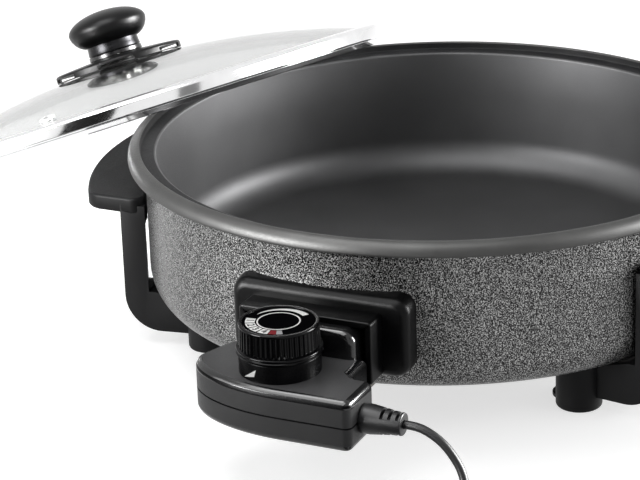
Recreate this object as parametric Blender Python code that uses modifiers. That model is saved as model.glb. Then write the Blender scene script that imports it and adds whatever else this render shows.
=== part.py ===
"""Electric skillet: a round cast pan on two handle-and-leg mouldings, a lift-off glass lid
that leans on the pan's rim, and a plug-in heat control with its cord coiled beside it.

Heights are written above the table. The object's origin is the centre of the cooking floor.
-Y is the side with the socket, +X and -X are the sides with the handles.
"""
import math

import bmesh
import bpy
from mathutils import Matrix, Vector

# General fits
GAP = 0.0003                    # between pieces that touch
SCREW_FIT = 0.0003              # round a screw's shank, on the radius
PASSING_FIT = 0.0006            # round a piece that passes through a wall
OVERRUN = 0.002                 # how far a cutter runs past a face
WELD = 0.00001                  # points closer than this are one

# Pan; the other pieces take their place from its rim and wall
RIM_RADIUS = 0.170
RIM_HEIGHT = 0.1112
RIM_BAND_HEIGHT = 0.0064
RIM_TOP_WIDTH = 0.0006
CREST_INSET = 0.0068            # from the rim's outer edge to the top of the lid's recess
LEDGE_INSET = 0.0153            # from the rim's outer edge to the ledge
LEDGE_DEPTH = 0.0041
WALL_INSET = 0.0089             # from the rim's outer edge to the outer wall
RIM_UNDERCUT_HEIGHT = 0.0028
WALL_DRAFT = 0.0012
WALL_FOOT_HEIGHT = 0.045
BOTTOM_INSET = 0.0111           # from the outer wall to the flat bottom's edge
BOTTOM_HEIGHT = 0.029
FLOOR_THICKNESS = 0.007
FLOOR_FILLET = 0.018
PAN_STEPS = 56
FILLET_POINTS = 4

# Feet and the bosses that the foot screws enter
FOOT_SETBACK = 0.0470           # from the leg's outer face, along the bar
FOOT_SHIFT = 0.0062             # sideways from the bar's middle, away from the pan's middle
FOOT_RADIUS = 0.0120
FOOT_CHAMFER = 0.0015
BOSS_RADIUS = 0.0075
BOSS_HEIGHT = 0.0035
FOOT_SCREW_RADIUS = 0.0023
FOOT_SCREW_REACH = 0.0025       # past the pan's underside
FOOT_SCREW_HEAD_RADIUS = 0.0048
FOOT_SCREW_HEAD_HEIGHT = 0.003
FOOT_SCREW_HEAD_LEVEL = 0.010
FOOT_BORE_RADIUS = 0.0058

# Handles
GRIP_TOP = 0.084
GRIP_THICKNESS = 0.0088
GRIP_OVERHANG = 0.0275          # past the rim
GRIP_CURVE_SHARE = 0.944        # its outer curve's radius over the rim's
GRIP_LENGTH_SHARE = 0.518       # half its length over the rim's radius
GRIP_OUTER_CORNER = 0.013
GRIP_INNER_CORNER = 0.006
GRIP_EDGE = 0.0014
WALL_TO_HANDLE = 0.0031
LEG_OUTSET = 0.0117             # from the pan's wall to the leg's outer face
LEG_AZIMUTH = math.radians(27.3)
LEG_TURN = math.radians(9.0)
LEG_WIDTH = 0.018
LEG_BOTTOM = 0.0073
LEG_CORNER = 0.020
BAR_DROP = 0.0054               # from the pan's underside to the bar's top
BAR_REACH = 0.052
LEG_WALL_INSET = 0.014

# Heating element under the pan
ELEMENT_RADIUS = 0.00325
ELEMENT_RING_SHARE = 0.667       # its ring's radius over the flat bottom's
ELEMENT_END_X = 0.017
ELEMENT_BEND = 0.008
ELEMENT_END_DROP = 0.0113       # below the pins
RING_POINTS = 36
BEAD_RADIUS = 0.0039
BEAD_HEIGHT = 0.004
PIN_RADIUS = 0.0021
PIN_BEND = 0.004
SOCKET_HEIGHT = 0.0578

# Socket guard; from here to the cord, Y is measured from the front of the pan's wall and
# heights from the pins' axis
PIN_TIP_Y = -0.0169
GUARD_HALF_WIDTH = 0.049
GUARD_BOTTOM = -0.0173
GUARD_TOP = 0.0267
GUARD_FRONT_Y = -0.0041
GUARD_REAR_Y = 0.0111
GUARD_CORNER = 0.007
GUARD_EDGE = 0.0040
DISH_MARGIN = 0.0078
DISH_DEPTH = 0.0022
SLEEVE_HALF_WIDTH = 0.0355
SLEEVE_BOTTOM = -0.0165
SLEEVE_TOP = 0.0165
SLEEVE_FRONT_Y = -0.0172
SLEEVE_WALL = 0.0031
SLEEVE_EDGE = 0.0010
SLEEVE_BACK_Y = -0.0049
LEG_SLOT_WIDTH = 0.0088
LEG_SLOT_TOP = 0.0047
GUARD_SCREW_X = 0.0270
GUARD_SCREW_RADIUS = 0.0016
GUARD_SCREW_HEAD_RADIUS = 0.0034
GUARD_SCREW_HEAD_HEIGHT = 0.0018
GUARD_SCREW_REACH = 0.0045
PROBE_BOSS_RADIUS = 0.0065
PROBE_BOSS_Y = -0.0064
PROBE_BOSS_BOTTOM_Y = -0.0015

# Lid, in its own frame: Z along its axis, zero at the rim band's widest edge
LID_LEAN = math.radians(23.2)
LID_AZIMUTH = math.radians(158.7)
LID_BEARING = math.radians(159.4)
LID_TO_RIM = 0.0004
BAND_FIT = 0.0041               # between the rim band's widest edge and the lid's recess
GLASS_INSET = 0.0051            # from the band's widest edge to the glass
GLASS_EDGE_HEIGHT = 0.0052
GLASS_APEX = 0.0306
GLASS_THICKNESS = 0.0040
GLASS_HOLE_RADIUS = 0.0045
GLASS_RINGS = 5
LID_STEPS = 44
BAND_SHEET = 0.0008
CRIMP_INSET = 0.0076
CRIMP_HEIGHT = 0.0068
SKIRT_INSET = 0.0025
SKIRT_DEPTH = 0.0050
HEM_WIDTH = 0.0016
SHELF_DEPTH = 0.0014
GASKET_INSET = 0.0048
GASKET_WIDTH = 0.0028
VENT_INSET = 0.015              # from the glass's edge
VENT_AZIMUTH = math.radians(282.0)
VENT_HOLE_RADIUS = 0.0031
VENT_TUBE_RADIUS = 0.0027
VENT_BORE_RADIUS = 0.0017
VENT_FLANGE_RADIUS = 0.0050
VENT_FLANGE_HEIGHT = 0.0009

# Lid knob, stacked up from the glass
KNOB_STEPS = 28
KNOB_BORE_RADIUS = 0.0031
OUTER_WASHER_RADIUS = 0.012
OUTER_WASHER_HEIGHT = 0.0010
FINGER_GUARD_RADIUS = 0.0396
FINGER_GUARD_EDGE_HEIGHT = 0.0042
FINGER_GUARD_DROP = 0.0020      # how far its top falls from hub to edge
FINGER_GUARD_LIFT = 0.0010      # its lower edge below the glass's apex
FINGER_GUARD_WALL = 0.0017
FINGER_GUARD_TOP = 0.0065
WINDOW_COUNT = 6
WINDOW_ARC = math.radians(34.0)
WINDOW_HEIGHT = 0.0022
WINDOW_SILL = 0.0006
BASE_RING_RADIUS = 0.0166
BASE_RING_HEIGHT = 0.0028
COLLAR_RADIUS = 0.0163
COLLAR_TOP_RADIUS = 0.0160
COLLAR_HEIGHT = 0.0065
HEAD_RADIUS = 0.0243
HEAD_HEIGHT = 0.0188
HEAD_BELLY_SHARE = 0.45
HEAD_ARC_POINTS = 7
INNER_WASHER_RADIUS = 0.014
INNER_WASHER_HEIGHT = 0.0018
KNOB_SCREW_RADIUS = 0.0025
KNOB_SCREW_HEAD_RADIUS = 0.0055
KNOB_SCREW_HEAD_HEIGHT = 0.0032
KNOB_SCREW_GRIP = 0.011         # length inside the head

# Heat control
DIAL_Y = -0.0447
HOUSING_BOTTOM = -0.0268
HOUSING_TOP = -0.0008
PARTING = -0.0146
HOUSING_WALL = 0.0020
HOUSING_EDGE = 0.0030
HOUSING_RIGHT = 0.0475
HOUSING_FRONT_Y = -0.0704
HOUSING_REAR_Y = -0.0199
SHOULDER_Y = -0.0412            # where the cord side steps in
SHOULDER_X = 0.0340
HOUSING_CORNER = 0.0040
SWEEP_X = 0.0100                # centre of the rounded front left
SWEEP_Y = -0.0419
SWEEP_HALF_X = 0.0555
HOUSING_LEFT_REAR = 0.0375
SWEEP_POINTS = 8
NECK_HALF_WIDTH = 0.0295
NECK_BOTTOM = -0.0128
NECK_TOP = 0.0110
NECK_FRONT_Y = -0.0231
NECK_REAR_Y = -0.0086
NECK_CORNER = 0.0045
NECK_EDGE = 0.0012
DRUM_RADIUS = 0.0200
DRUM_TOP = 0.0086
DRUM_EDGE = 0.0006
SHAFT_RADIUS = 0.0028
SHAFT_BOTTOM = -0.0042
SHELL_SCREW_PLACES = ((-0.0270, -0.0519), (0.0340, -0.0614))
SHELL_BOSS_RADIUS = 0.0038
SHELL_SCREW_RADIUS = 0.0013
SHELL_SCREW_HEAD_RADIUS = 0.0026
SHELL_SCREW_HEAD_HEIGHT = 0.0016
SHELL_SCREW_HEAD_LEVEL = -0.0248

# Dial
DIAL_RADIUS = 0.0202
DIAL_TOP = 0.0239
DIAL_FLANGE_RADIUS = 0.0207
DIAL_FLANGE_HEIGHT = 0.0026
DIAL_WAIST_RADIUS = 0.0193
DIAL_WAIST_HEIGHT = 0.0008
DIAL_CROWN_HEIGHT = 0.0014
DIAL_FACE_RADIUS = 0.0178
DIAL_FACE_DEPTH = 0.0013
DIAL_PLATE_THICKNESS = 0.0007
DIAL_SOCKET_DEPTH = 0.0085
RIB_COUNT = 54
DIAL_STEPS = 40
RIB_DEPTH = 0.00035
RIB_SAMPLES = 2

# Inside the control
BLOCK_HALF_WIDTH = 0.0260
BLOCK_FRONT_Y = -0.0207
BLOCK_REAR_Y = -0.0179
BLOCK_BOTTOM = -0.0088
BLOCK_TOP = 0.0067
CONTACT_OUTER_RADIUS = 0.0039
CONTACT_REAR_Y = -0.0113
PROBE_RADIUS = 0.0030
PROBE_TIP_Y = -0.0020
BLADE_WIDTH = 0.0080
BLADE_THICKNESS = 0.0008
BIMETAL_LEVEL = -0.0053
CONTACT_BLADE_LEVEL = -0.0078
BLADE_REACH = 0.0260

# Cord boot, cord, coil and plug
CORD_RADIUS = 0.0021
BOOT_Y = -0.0549
BOOT_START_X = 0.0440
BOOT_END_X = 0.0685
BOOT_NECK_RADIUS = 0.0055
BOOT_FLANGE_RADIUS = 0.0068
BOOT_FLANGE_WIDTH = 0.0012
BOOT_ROOT_RADIUS = 0.0073
BOOT_ROOT_LENGTH = 0.0045
BOOT_TIP_RADIUS = 0.0056
SLOT_COUNT = 3
SLOT_WIDTH = 0.0016
SLOT_PITCH = 0.0038
SLOT_CORE = 0.0034
COIL_TURNS_IN_LAYER = 2.375
COIL_REVERSAL_TURNS = 0.5
COIL_MID_RADIUS = 0.0230
COIL_TURN_GAP = 0.0006
COIL_POINTS_PER_TURN = 24
COIL_START = Vector((0.1032, -0.0869))
TIE_SHEET = 0.0009
TIE_WIDTH = 0.0045
TIE_AZIMUTH = math.radians(205.0)
PLUG_LENGTH = 0.0300
PLUG_WIDTH = 0.0240
PLUG_NOSE_LENGTH = 0.0120
PLUG_EDGE = 0.0022
BLADE_SPACING = 0.0127
PLUG_BLADE_LENGTH = 0.0160
PLUG_BLADE_WIDTH = 0.0063
PLUG_BLADE_THICKNESS = 0.0015

# Worked out from the sizes above
COOKING_FLOOR = BOTTOM_HEIGHT + FLOOR_THICKNESS
CREST_RADIUS = RIM_RADIUS - CREST_INSET
LEDGE_RADIUS = RIM_RADIUS - LEDGE_INSET
WALL_RADIUS = RIM_RADIUS - WALL_INSET
BOTTOM_RADIUS = WALL_RADIUS - BOTTOM_INSET
LEG_CENTRE_RADIUS = WALL_RADIUS + LEG_OUTSET
GRIP_REACH = RIM_RADIUS + GRIP_OVERHANG
GRIP_CURVE_RADIUS = RIM_RADIUS * GRIP_CURVE_SHARE
GRIP_HALF_LENGTH = RIM_RADIUS * GRIP_LENGTH_SHARE
ELEMENT_RING_RADIUS = BOTTOM_RADIUS * ELEMENT_RING_SHARE
ELEMENT_END_HEIGHT = SOCKET_HEIGHT - ELEMENT_END_DROP
BAR_TOP = BOTTOM_HEIGHT - BAR_DROP
BAND_RADIUS = CREST_RADIUS - BAND_FIT
GLASS_RADIUS = BAND_RADIUS - GLASS_INSET
CRIMP_RADIUS = BAND_RADIUS - CRIMP_INSET
SKIRT_RADIUS = BAND_RADIUS - SKIRT_INSET
GASKET_RADIUS = BAND_RADIUS - GASKET_INSET
VENT_RADIUS = GLASS_RADIUS - VENT_INSET
TIE_LIFT = TIE_SHEET + GAP
COIL_LEVEL = TIE_LIFT + CORD_RADIUS
COIL_PITCH = 2 * CORD_RADIUS + COIL_TURN_GAP
COIL_OUTER_RADIUS = COIL_MID_RADIUS + COIL_PITCH * COIL_TURNS_IN_LAYER / 2
COIL_CENTRE = Vector((COIL_START.x - COIL_OUTER_RADIUS, COIL_START.y))
HANDLE_CLEAR_RADIUS = WALL_RADIUS + WALL_TO_HANDLE
ELEMENT_LEVEL = BOTTOM_HEIGHT - GAP - ELEMENT_RADIUS
ELEMENT_RISE_Y = -(GAP + BEAD_RADIUS)
CAP_SEGMENTS = 20


# Start with an empty file, then one collection for the parts and one for the cutters
for old in list(bpy.data.objects):
    bpy.data.objects.remove(old, do_unlink=True)
parts = bpy.data.collections.new("electric_skillet")
cutters = bpy.data.collections.new("cutters")
bpy.context.scene.collection.children.link(parts)
bpy.context.scene.collection.children.link(cutters)


def make_material(name, colour, roughness, metallic=0.0):
    """One Principled material."""
    material = bpy.data.materials.new(name)
    material.use_nodes = True
    shader = material.node_tree.nodes["Principled BSDF"]
    shader.inputs["Base Color"].default_value = (*colour, 1.0)
    shader.inputs["Roughness"].default_value = roughness
    shader.inputs["Metallic"].default_value = metallic
    return material


def make_empty(name, parent=None, place=(0, 0, 0)):
    """A frame that pieces are placed in."""
    empty = bpy.data.objects.new(name, None)
    empty.location = place
    empty.parent = parent
    parts.objects.link(empty)
    return empty


def make_object(name, data, frame, place=(0, 0, 0), turn=None):
    """An object in a frame, kept with the cutters until it is finished as a part."""
    piece = bpy.data.objects.new(name, data)
    piece.location = place
    if turn is not None:
        piece.rotation_euler = turn.to_euler()
    piece.parent = frame
    piece.hide_render = True
    piece.display_type = "WIRE"
    cutters.objects.link(piece)
    return piece


def finish(piece, colour, roughness, metallic=0.0):
    """Give a piece its own material and move it to the parts."""
    cutters.objects.unlink(piece)
    parts.objects.link(piece)
    piece.hide_render = False
    piece.display_type = "TEXTURED"
    piece.data.materials.clear()
    piece.data.materials.append(make_material(piece.name, colour, roughness, metallic))
    return piece


def boolean(piece, other, operation):
    """Join or cut with another object."""
    step = piece.modifiers.new(other.name, "BOOLEAN")
    step.operation = operation
    step.object = other
    step.solver = "EXACT"


def join(piece, *others):
    for other in others:
        boolean(piece, other, "UNION")


def cut(piece, *others):
    for other in others:
        boolean(piece, other, "DIFFERENCE")


def bevel(piece, width, segments=2, angle=math.radians(50)):
    """Rounded edges."""
    step = piece.modifiers.new("edges", "BEVEL")
    step.width = width
    step.segments = segments
    step.limit_method = "ANGLE"
    step.angle_limit = angle


def turned(name, frame, outline, steps, place=(0, 0, 0), turn=None, closed=False, sheet=0.0):
    """A profile of (radius, height) points swept round Z, its outer side top to bottom."""
    mesh = bpy.data.meshes.new(name)
    count = len(outline)
    edges = [(i, i + 1) for i in range(count - 1)]
    if closed:
        edges.append((count - 1, 0))
    mesh.from_pydata([(radius, 0, height) for radius, height in outline], edges, [])
    piece = make_object(name, mesh, frame, place, turn)
    sweep = piece.modifiers.new("sweep", "SCREW")
    sweep.angle = 2 * math.pi
    sweep.steps = steps
    sweep.render_steps = steps
    sweep.use_merge_vertices = True
    sweep.merge_threshold = WELD
    sweep.use_smooth_shade = True
    if sheet:
        wall = piece.modifiers.new("sheet", "SOLIDIFY")
        wall.thickness = sheet
        wall.offset = 0.0
    return piece


def cylinder(name, frame, radius, start, end, segments=CAP_SEGMENTS):
    """A round bar between two points."""
    start = Vector(start)
    run = Vector(end) - start
    shape = bmesh.new()
    bmesh.ops.create_cone(shape, cap_ends=True, segments=segments, radius1=radius,
                          radius2=radius, depth=run.length)
    mesh = bpy.data.meshes.new(name)
    shape.to_mesh(mesh)
    shape.free()
    mesh.shade_smooth()
    mesh.set_sharp_from_angle(angle=math.radians(40))
    return make_object(name, mesh, frame, start + run / 2, run.to_track_quat("Z", "Y"))


def box(name, frame, low, high):
    """A block between two corners."""
    low, high = Vector(low), Vector(high)
    shape = bmesh.new()
    bmesh.ops.create_cube(shape, size=1)
    bmesh.ops.scale(shape, vec=high - low, verts=shape.verts)
    mesh = bpy.data.meshes.new(name)
    shape.to_mesh(mesh)
    shape.free()
    return make_object(name, mesh, frame, (low + high) / 2)


def plate(name, frame, outline, low, high, turn=None, place=(0, 0, 0)):
    """A flat outline with thickness from low to high along its own Z."""
    curve = bpy.data.curves.new(name, "CURVE")
    curve.dimensions = "2D"
    curve.fill_mode = "BOTH"
    curve.extrude = (high - low) / 2
    loop = curve.splines.new("POLY")
    loop.points.add(len(outline) - 1)
    for point, (x, y) in zip(loop.points, outline):
        point.co = (x, y, 0, 1)
    loop.use_cyclic_u = True
    drawing = bpy.data.objects.new(name + "_drawing", curve)
    cutters.objects.link(drawing)
    graph = bpy.context.evaluated_depsgraph_get()
    mesh = bpy.data.meshes.new_from_object(drawing.evaluated_get(graph))
    bpy.data.objects.remove(drawing)
    shape = bmesh.new()
    shape.from_mesh(mesh)
    bmesh.ops.remove_doubles(shape, verts=shape.verts, dist=GAP / 10)
    bmesh.ops.translate(shape, verts=shape.verts, vec=(0, 0, (low + high) / 2))
    bmesh.ops.dissolve_limit(shape, angle_limit=math.radians(1), verts=shape.verts,
                             edges=shape.edges)
    bmesh.ops.recalc_face_normals(shape, faces=shape.faces)
    shape.to_mesh(mesh)
    shape.free()
    return make_object(name, mesh, frame, place, turn)


def tube(name, frame, points, radius, resolution=2):
    """A round tube along points, with filled ends."""
    curve = bpy.data.curves.new(name, "CURVE")
    curve.dimensions = "3D"
    curve.bevel_depth = radius
    curve.bevel_resolution = resolution
    curve.use_fill_caps = True
    line = curve.splines.new("POLY")
    line.points.add(len(points) - 1)
    for point, place in zip(line.points, points):
        point.co = (*place, 1)
    return make_object(name, curve, frame)


def arc(centre, radii, start, end, count):
    """Points along an ellipse's arc, both ends included; angles in radians."""
    sweep = [start + (end - start) * i / (count - 1) for i in range(count)]
    return [(centre[0] + radii[0] * math.cos(a), centre[1] + radii[1] * math.sin(a)) for a in sweep]


def rounded_box(low, high, corner, count=4):
    """A rectangle's outline with rounded corners."""
    (x0, y0), (x1, y1) = low, high
    quarter = math.pi / 2
    outline = []
    corners = ((x1 - corner, y1 - corner), (x0 + corner, y1 - corner),
               (x0 + corner, y0 + corner), (x1 - corner, y0 + corner))
    for index, centre in enumerate(corners):
        outline += arc(centre, (corner, corner), index * quarter, (index + 1) * quarter, count)
    return outline


def ring_section(inner, outer, low, high):
    """The square section of a plain ring."""
    return [(outer, high), (outer, low), (inner, low), (inner, high)]


# The table level, with the origin at the centre of the cooking floor
table = make_empty("table_level", place=(0, 0, -COOKING_FLOOR))
socket_seat = make_empty("socket_seat", table, (0, -WALL_RADIUS, SOCKET_HEIGHT))
FACING_FRONT = Matrix.Rotation(math.pi / 2, 3, "X")     # local Z points to -Y, local Y points up

# Pan: one casting, turned, with an overhanging rim and a ledge for the lid
ledge_height = RIM_HEIGHT - LEDGE_DEPTH
band_bottom = RIM_HEIGHT - RIM_BAND_HEIGHT
floor_edge = LEDGE_RADIUS - WALL_DRAFT
pan_outline = [(0, COOKING_FLOOR)]
pan_outline += arc((floor_edge - FLOOR_FILLET, COOKING_FLOOR + FLOOR_FILLET),
                   (FLOOR_FILLET, FLOOR_FILLET), -math.pi / 2, 0, FILLET_POINTS)
pan_outline += [
    (LEDGE_RADIUS, ledge_height - WALL_DRAFT),
    (LEDGE_RADIUS + WALL_DRAFT, ledge_height),
    (CREST_RADIUS, ledge_height),
    (CREST_RADIUS, RIM_HEIGHT - RIM_TOP_WIDTH),
]
pan_outline += arc((CREST_RADIUS + RIM_TOP_WIDTH, band_bottom),
                   (RIM_RADIUS - CREST_RADIUS - RIM_TOP_WIDTH, RIM_BAND_HEIGHT),
                   math.pi / 2, 0, FILLET_POINTS)
pan_outline += [
    (RIM_RADIUS - RIM_TOP_WIDTH, band_bottom - RIM_TOP_WIDTH),
    (WALL_RADIUS + RIM_TOP_WIDTH, band_bottom - RIM_UNDERCUT_HEIGHT),
    (WALL_RADIUS, band_bottom - 2 * RIM_UNDERCUT_HEIGHT),
]
pan_outline += arc((BOTTOM_RADIUS, WALL_FOOT_HEIGHT),
                   (WALL_RADIUS - BOTTOM_RADIUS, WALL_FOOT_HEIGHT - BOTTOM_HEIGHT),
                   0, -math.pi / 2, FILLET_POINTS)
pan_outline += [(0, BOTTOM_HEIGHT)]
pan = turned("pan_body", table, pan_outline, PAN_STEPS)



def foot_place(side, end):
    """A foot's centre, from its leg's place and the way its bar runs in."""
    x = (LEG_CENTRE_RADIUS * math.cos(LEG_AZIMUTH) - FOOT_SETBACK * math.cos(LEG_TURN)
         - FOOT_SHIFT * math.sin(LEG_TURN))
    y = (LEG_CENTRE_RADIUS * math.sin(LEG_AZIMUTH) - FOOT_SETBACK * math.sin(LEG_TURN)
         + FOOT_SHIFT * math.cos(LEG_TURN))
    return side * x, end * y


feet = [foot_place(side, end) for side in (-1, 1) for end in (-1, 1)]
print("feet:", [f"{x:.4f}, {y:.4f}" for x, y in feet])
screw_hole_top = BOTTOM_HEIGHT + FOOT_SCREW_REACH + 2 * SCREW_FIT
for index, (x, y) in enumerate(feet):
    boss = cylinder(f"pan_boss_{index}", table, BOSS_RADIUS, (x, y, BOTTOM_HEIGHT - BOSS_HEIGHT),
                    (x, y, BOTTOM_HEIGHT + FLOOR_THICKNESS / 2), CAP_SEGMENTS // 2)
    hole = cylinder(f"pan_boss_hole_{index}", table, FOOT_SCREW_RADIUS + SCREW_FIT,
                    (x, y, BOTTOM_HEIGHT - BOSS_HEIGHT - OVERRUN), (x, y, screw_hole_top),
                    CAP_SEGMENTS // 2)
    join(pan, boss)
    cut(pan, hole)
probe_boss = cylinder("probe_boss", socket_seat, PROBE_BOSS_RADIUS,
                      (0, PROBE_BOSS_Y, 0), (0, OVERRUN, 0))
probe_hole = cylinder("probe_hole", socket_seat, PROBE_RADIUS + PASSING_FIT,
                      (0, PROBE_BOSS_Y - OVERRUN, 0),
                      (0, PROBE_BOSS_BOTTOM_Y, 0))
join(pan, probe_boss)
cut(pan, probe_hole)
guard_screw_wall_y = WALL_RADIUS - math.sqrt(WALL_RADIUS ** 2 - GUARD_SCREW_X ** 2)
for side in (-1, 1):
    hole = cylinder(f"guard_screw_hole_{side}", socket_seat, GUARD_SCREW_RADIUS + SCREW_FIT,
                    (side * GUARD_SCREW_X, SLEEVE_FRONT_Y, 0),
                    (side * GUARD_SCREW_X, guard_screw_wall_y + GUARD_SCREW_REACH, 0))
    cut(pan, hole)
finish(pan, (0.075, 0.075, 0.078), 0.45, 0.3)

# Heating element: a tube bent to an open ring, its two ends turned up behind the guard
gap_angle = math.asin(ELEMENT_END_X / (ELEMENT_RING_RADIUS - ELEMENT_BEND))
half_open = math.pi / 2 + gap_angle


def element_path():
    """From the left end's top, down, in under the pan, round the ring and back."""
    ring = arc((0, 0), (ELEMENT_RING_RADIUS, ELEMENT_RING_RADIUS), -math.pi / 2,
               math.pi / 2, RING_POINTS // 2)
    ring = [(x, y) for x, y in ring if y > 0 or x > ELEMENT_END_X + ELEMENT_BEND]
    turn_in = -math.sqrt(ELEMENT_RING_RADIUS ** 2 - (ELEMENT_END_X + ELEMENT_BEND) ** 2)
    rise_y = ELEMENT_RISE_Y - WALL_RADIUS
    half = [(ELEMENT_END_X, rise_y, ELEMENT_END_HEIGHT)]
    bend = arc((rise_y + ELEMENT_BEND, ELEMENT_LEVEL + ELEMENT_BEND),
               (ELEMENT_BEND, ELEMENT_BEND), math.pi, 1.5 * math.pi, FILLET_POINTS)
    half += [(ELEMENT_END_X, y, z) for y, z in bend]
    corner = arc((ELEMENT_END_X + ELEMENT_BEND, turn_in - ELEMENT_BEND / 2),
                 (ELEMENT_BEND, ELEMENT_BEND), math.pi, math.pi / 2 + gap_angle, FILLET_POINTS)
    half += [(x, y, ELEMENT_LEVEL) for x, y in corner]
    half += [(x, y, ELEMENT_LEVEL) for x, y in ring]
    mirrored = [(-x, y, z) for x, y, z in reversed(half)]
    return half + mirrored


element = tube("heating_element", table, element_path(), ELEMENT_RADIUS, 1)
finish(element, (0.18, 0.18, 0.17), 0.5, 0.8)
bead_bottom = GAP - ELEMENT_END_DROP
bead_top = bead_bottom + BEAD_HEIGHT
pin_start = bead_top + GAP
for side, word in ((-1, "left"), (1, "right")):
    x = side * ELEMENT_END_X
    bead = turned(f"terminal_bead_{word}", socket_seat,
                  [(0, bead_top), (BEAD_RADIUS - GAP, bead_top), (BEAD_RADIUS, bead_top - GAP),
                   (BEAD_RADIUS, bead_bottom), (0, bead_bottom)], CAP_SEGMENTS // 2,
                  (x, ELEMENT_RISE_Y, 0))
    finish(bead, (0.85, 0.83, 0.78), 0.6)
    knee = arc((ELEMENT_RISE_Y - PIN_BEND, -PIN_BEND), (PIN_BEND, PIN_BEND),
               0, math.pi / 2, FILLET_POINTS)
    pin = tube(f"terminal_pin_{word}", socket_seat,
               [(x, ELEMENT_RISE_Y, pin_start)] + [(x, y, z) for y, z in knee]
               + [(x, PIN_TIP_Y, 0)], PIN_RADIUS)
    finish(pin, (0.7, 0.7, 0.7), 0.3, 1.0)

# Socket guard: a dished frame round a square sleeve that the control plugs into
guard = plate("socket_guard", socket_seat,
              rounded_box((-GUARD_HALF_WIDTH, GUARD_BOTTOM), (GUARD_HALF_WIDTH, GUARD_TOP),
                          GUARD_CORNER), -GUARD_REAR_Y, -GUARD_FRONT_Y, FACING_FRONT)
bevel(guard, GUARD_EDGE, 2)
dish = plate("guard_dish", socket_seat,
             rounded_box((DISH_MARGIN - GUARD_HALF_WIDTH, GUARD_BOTTOM + DISH_MARGIN),
                         (GUARD_HALF_WIDTH - DISH_MARGIN, GUARD_TOP - DISH_MARGIN),
                         GUARD_CORNER / 2),
             -GUARD_FRONT_Y - DISH_DEPTH, OVERRUN - GUARD_FRONT_Y, FACING_FRONT)
sleeve = plate("guard_sleeve", socket_seat,
               rounded_box((-SLEEVE_HALF_WIDTH, SLEEVE_BOTTOM), (SLEEVE_HALF_WIDTH, SLEEVE_TOP),
                           SLEEVE_EDGE * 2, 3), OVERRUN - GUARD_REAR_Y, -SLEEVE_FRONT_Y, FACING_FRONT)
bevel(sleeve, SLEEVE_EDGE)
mouth = box("guard_mouth", socket_seat,
            (SLEEVE_WALL - SLEEVE_HALF_WIDTH, SLEEVE_FRONT_Y - OVERRUN, SLEEVE_BOTTOM + SLEEVE_WALL),
            (SLEEVE_HALF_WIDTH - SLEEVE_WALL, SLEEVE_BACK_Y, SLEEVE_TOP - SLEEVE_WALL))
cut(guard, dish)
join(guard, sleeve)
cut(guard, mouth)
for side in (-1, 1):
    x = side * ELEMENT_END_X
    slot = box(f"guard_slot_{side}", socket_seat,
               (x - LEG_SLOT_WIDTH / 2, ELEMENT_RISE_Y - BEAD_RADIUS - PASSING_FIT,
                GUARD_BOTTOM - OVERRUN),
               (x + LEG_SLOT_WIDTH / 2, GUARD_REAR_Y + 2 * OVERRUN, LEG_SLOT_TOP))
    screw_hole = cylinder(f"guard_hole_{side}", socket_seat, GUARD_SCREW_RADIUS + SCREW_FIT,
                          (side * GUARD_SCREW_X, SLEEVE_BACK_Y - OVERRUN, 0),
                          (side * GUARD_SCREW_X, GUARD_REAR_Y, 0))
    cut(guard, slot, screw_hole)
boss_hole = cylinder("guard_boss_hole", socket_seat, PROBE_BOSS_RADIUS + PASSING_FIT,
                     (0, SLEEVE_BACK_Y - OVERRUN, 0), (0, GUARD_REAR_Y, 0))
wall_cutter = turned("guard_wall_cutter", table,
                     [(0, RIM_HEIGHT), (WALL_RADIUS + GAP, RIM_HEIGHT)]
                     + arc((BOTTOM_RADIUS + GAP, WALL_FOOT_HEIGHT),
                           (WALL_RADIUS - BOTTOM_RADIUS, WALL_FOOT_HEIGHT - BOTTOM_HEIGHT + GAP),
                           0, -math.pi / 2, FILLET_POINTS) + [(0, BOTTOM_HEIGHT - GAP)], PAN_STEPS)
cut(guard, boss_hole, wall_cutter)
finish(guard, (0.022, 0.022, 0.023), 0.45)
for side, word in ((-1, "left"), (1, "right")):
    seat = SLEEVE_BACK_Y - GAP
    reach = guard_screw_wall_y + GUARD_SCREW_REACH - GAP
    head = GUARD_SCREW_HEAD_HEIGHT
    screw = turned(f"guard_screw_{word}", socket_seat,
                   [(0, head), (GUARD_SCREW_HEAD_RADIUS - head / 2, head),
                    (GUARD_SCREW_HEAD_RADIUS, head / 2), (GUARD_SCREW_HEAD_RADIUS, 0),
                    (GUARD_SCREW_RADIUS, 0), (GUARD_SCREW_RADIUS, seat - reach), (0, seat - reach)],
                   CAP_SEGMENTS // 2, (side * GUARD_SCREW_X, seat, 0), FACING_FRONT)
    finish(screw, (0.6, 0.6, 0.6), 0.35, 1.0)


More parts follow.
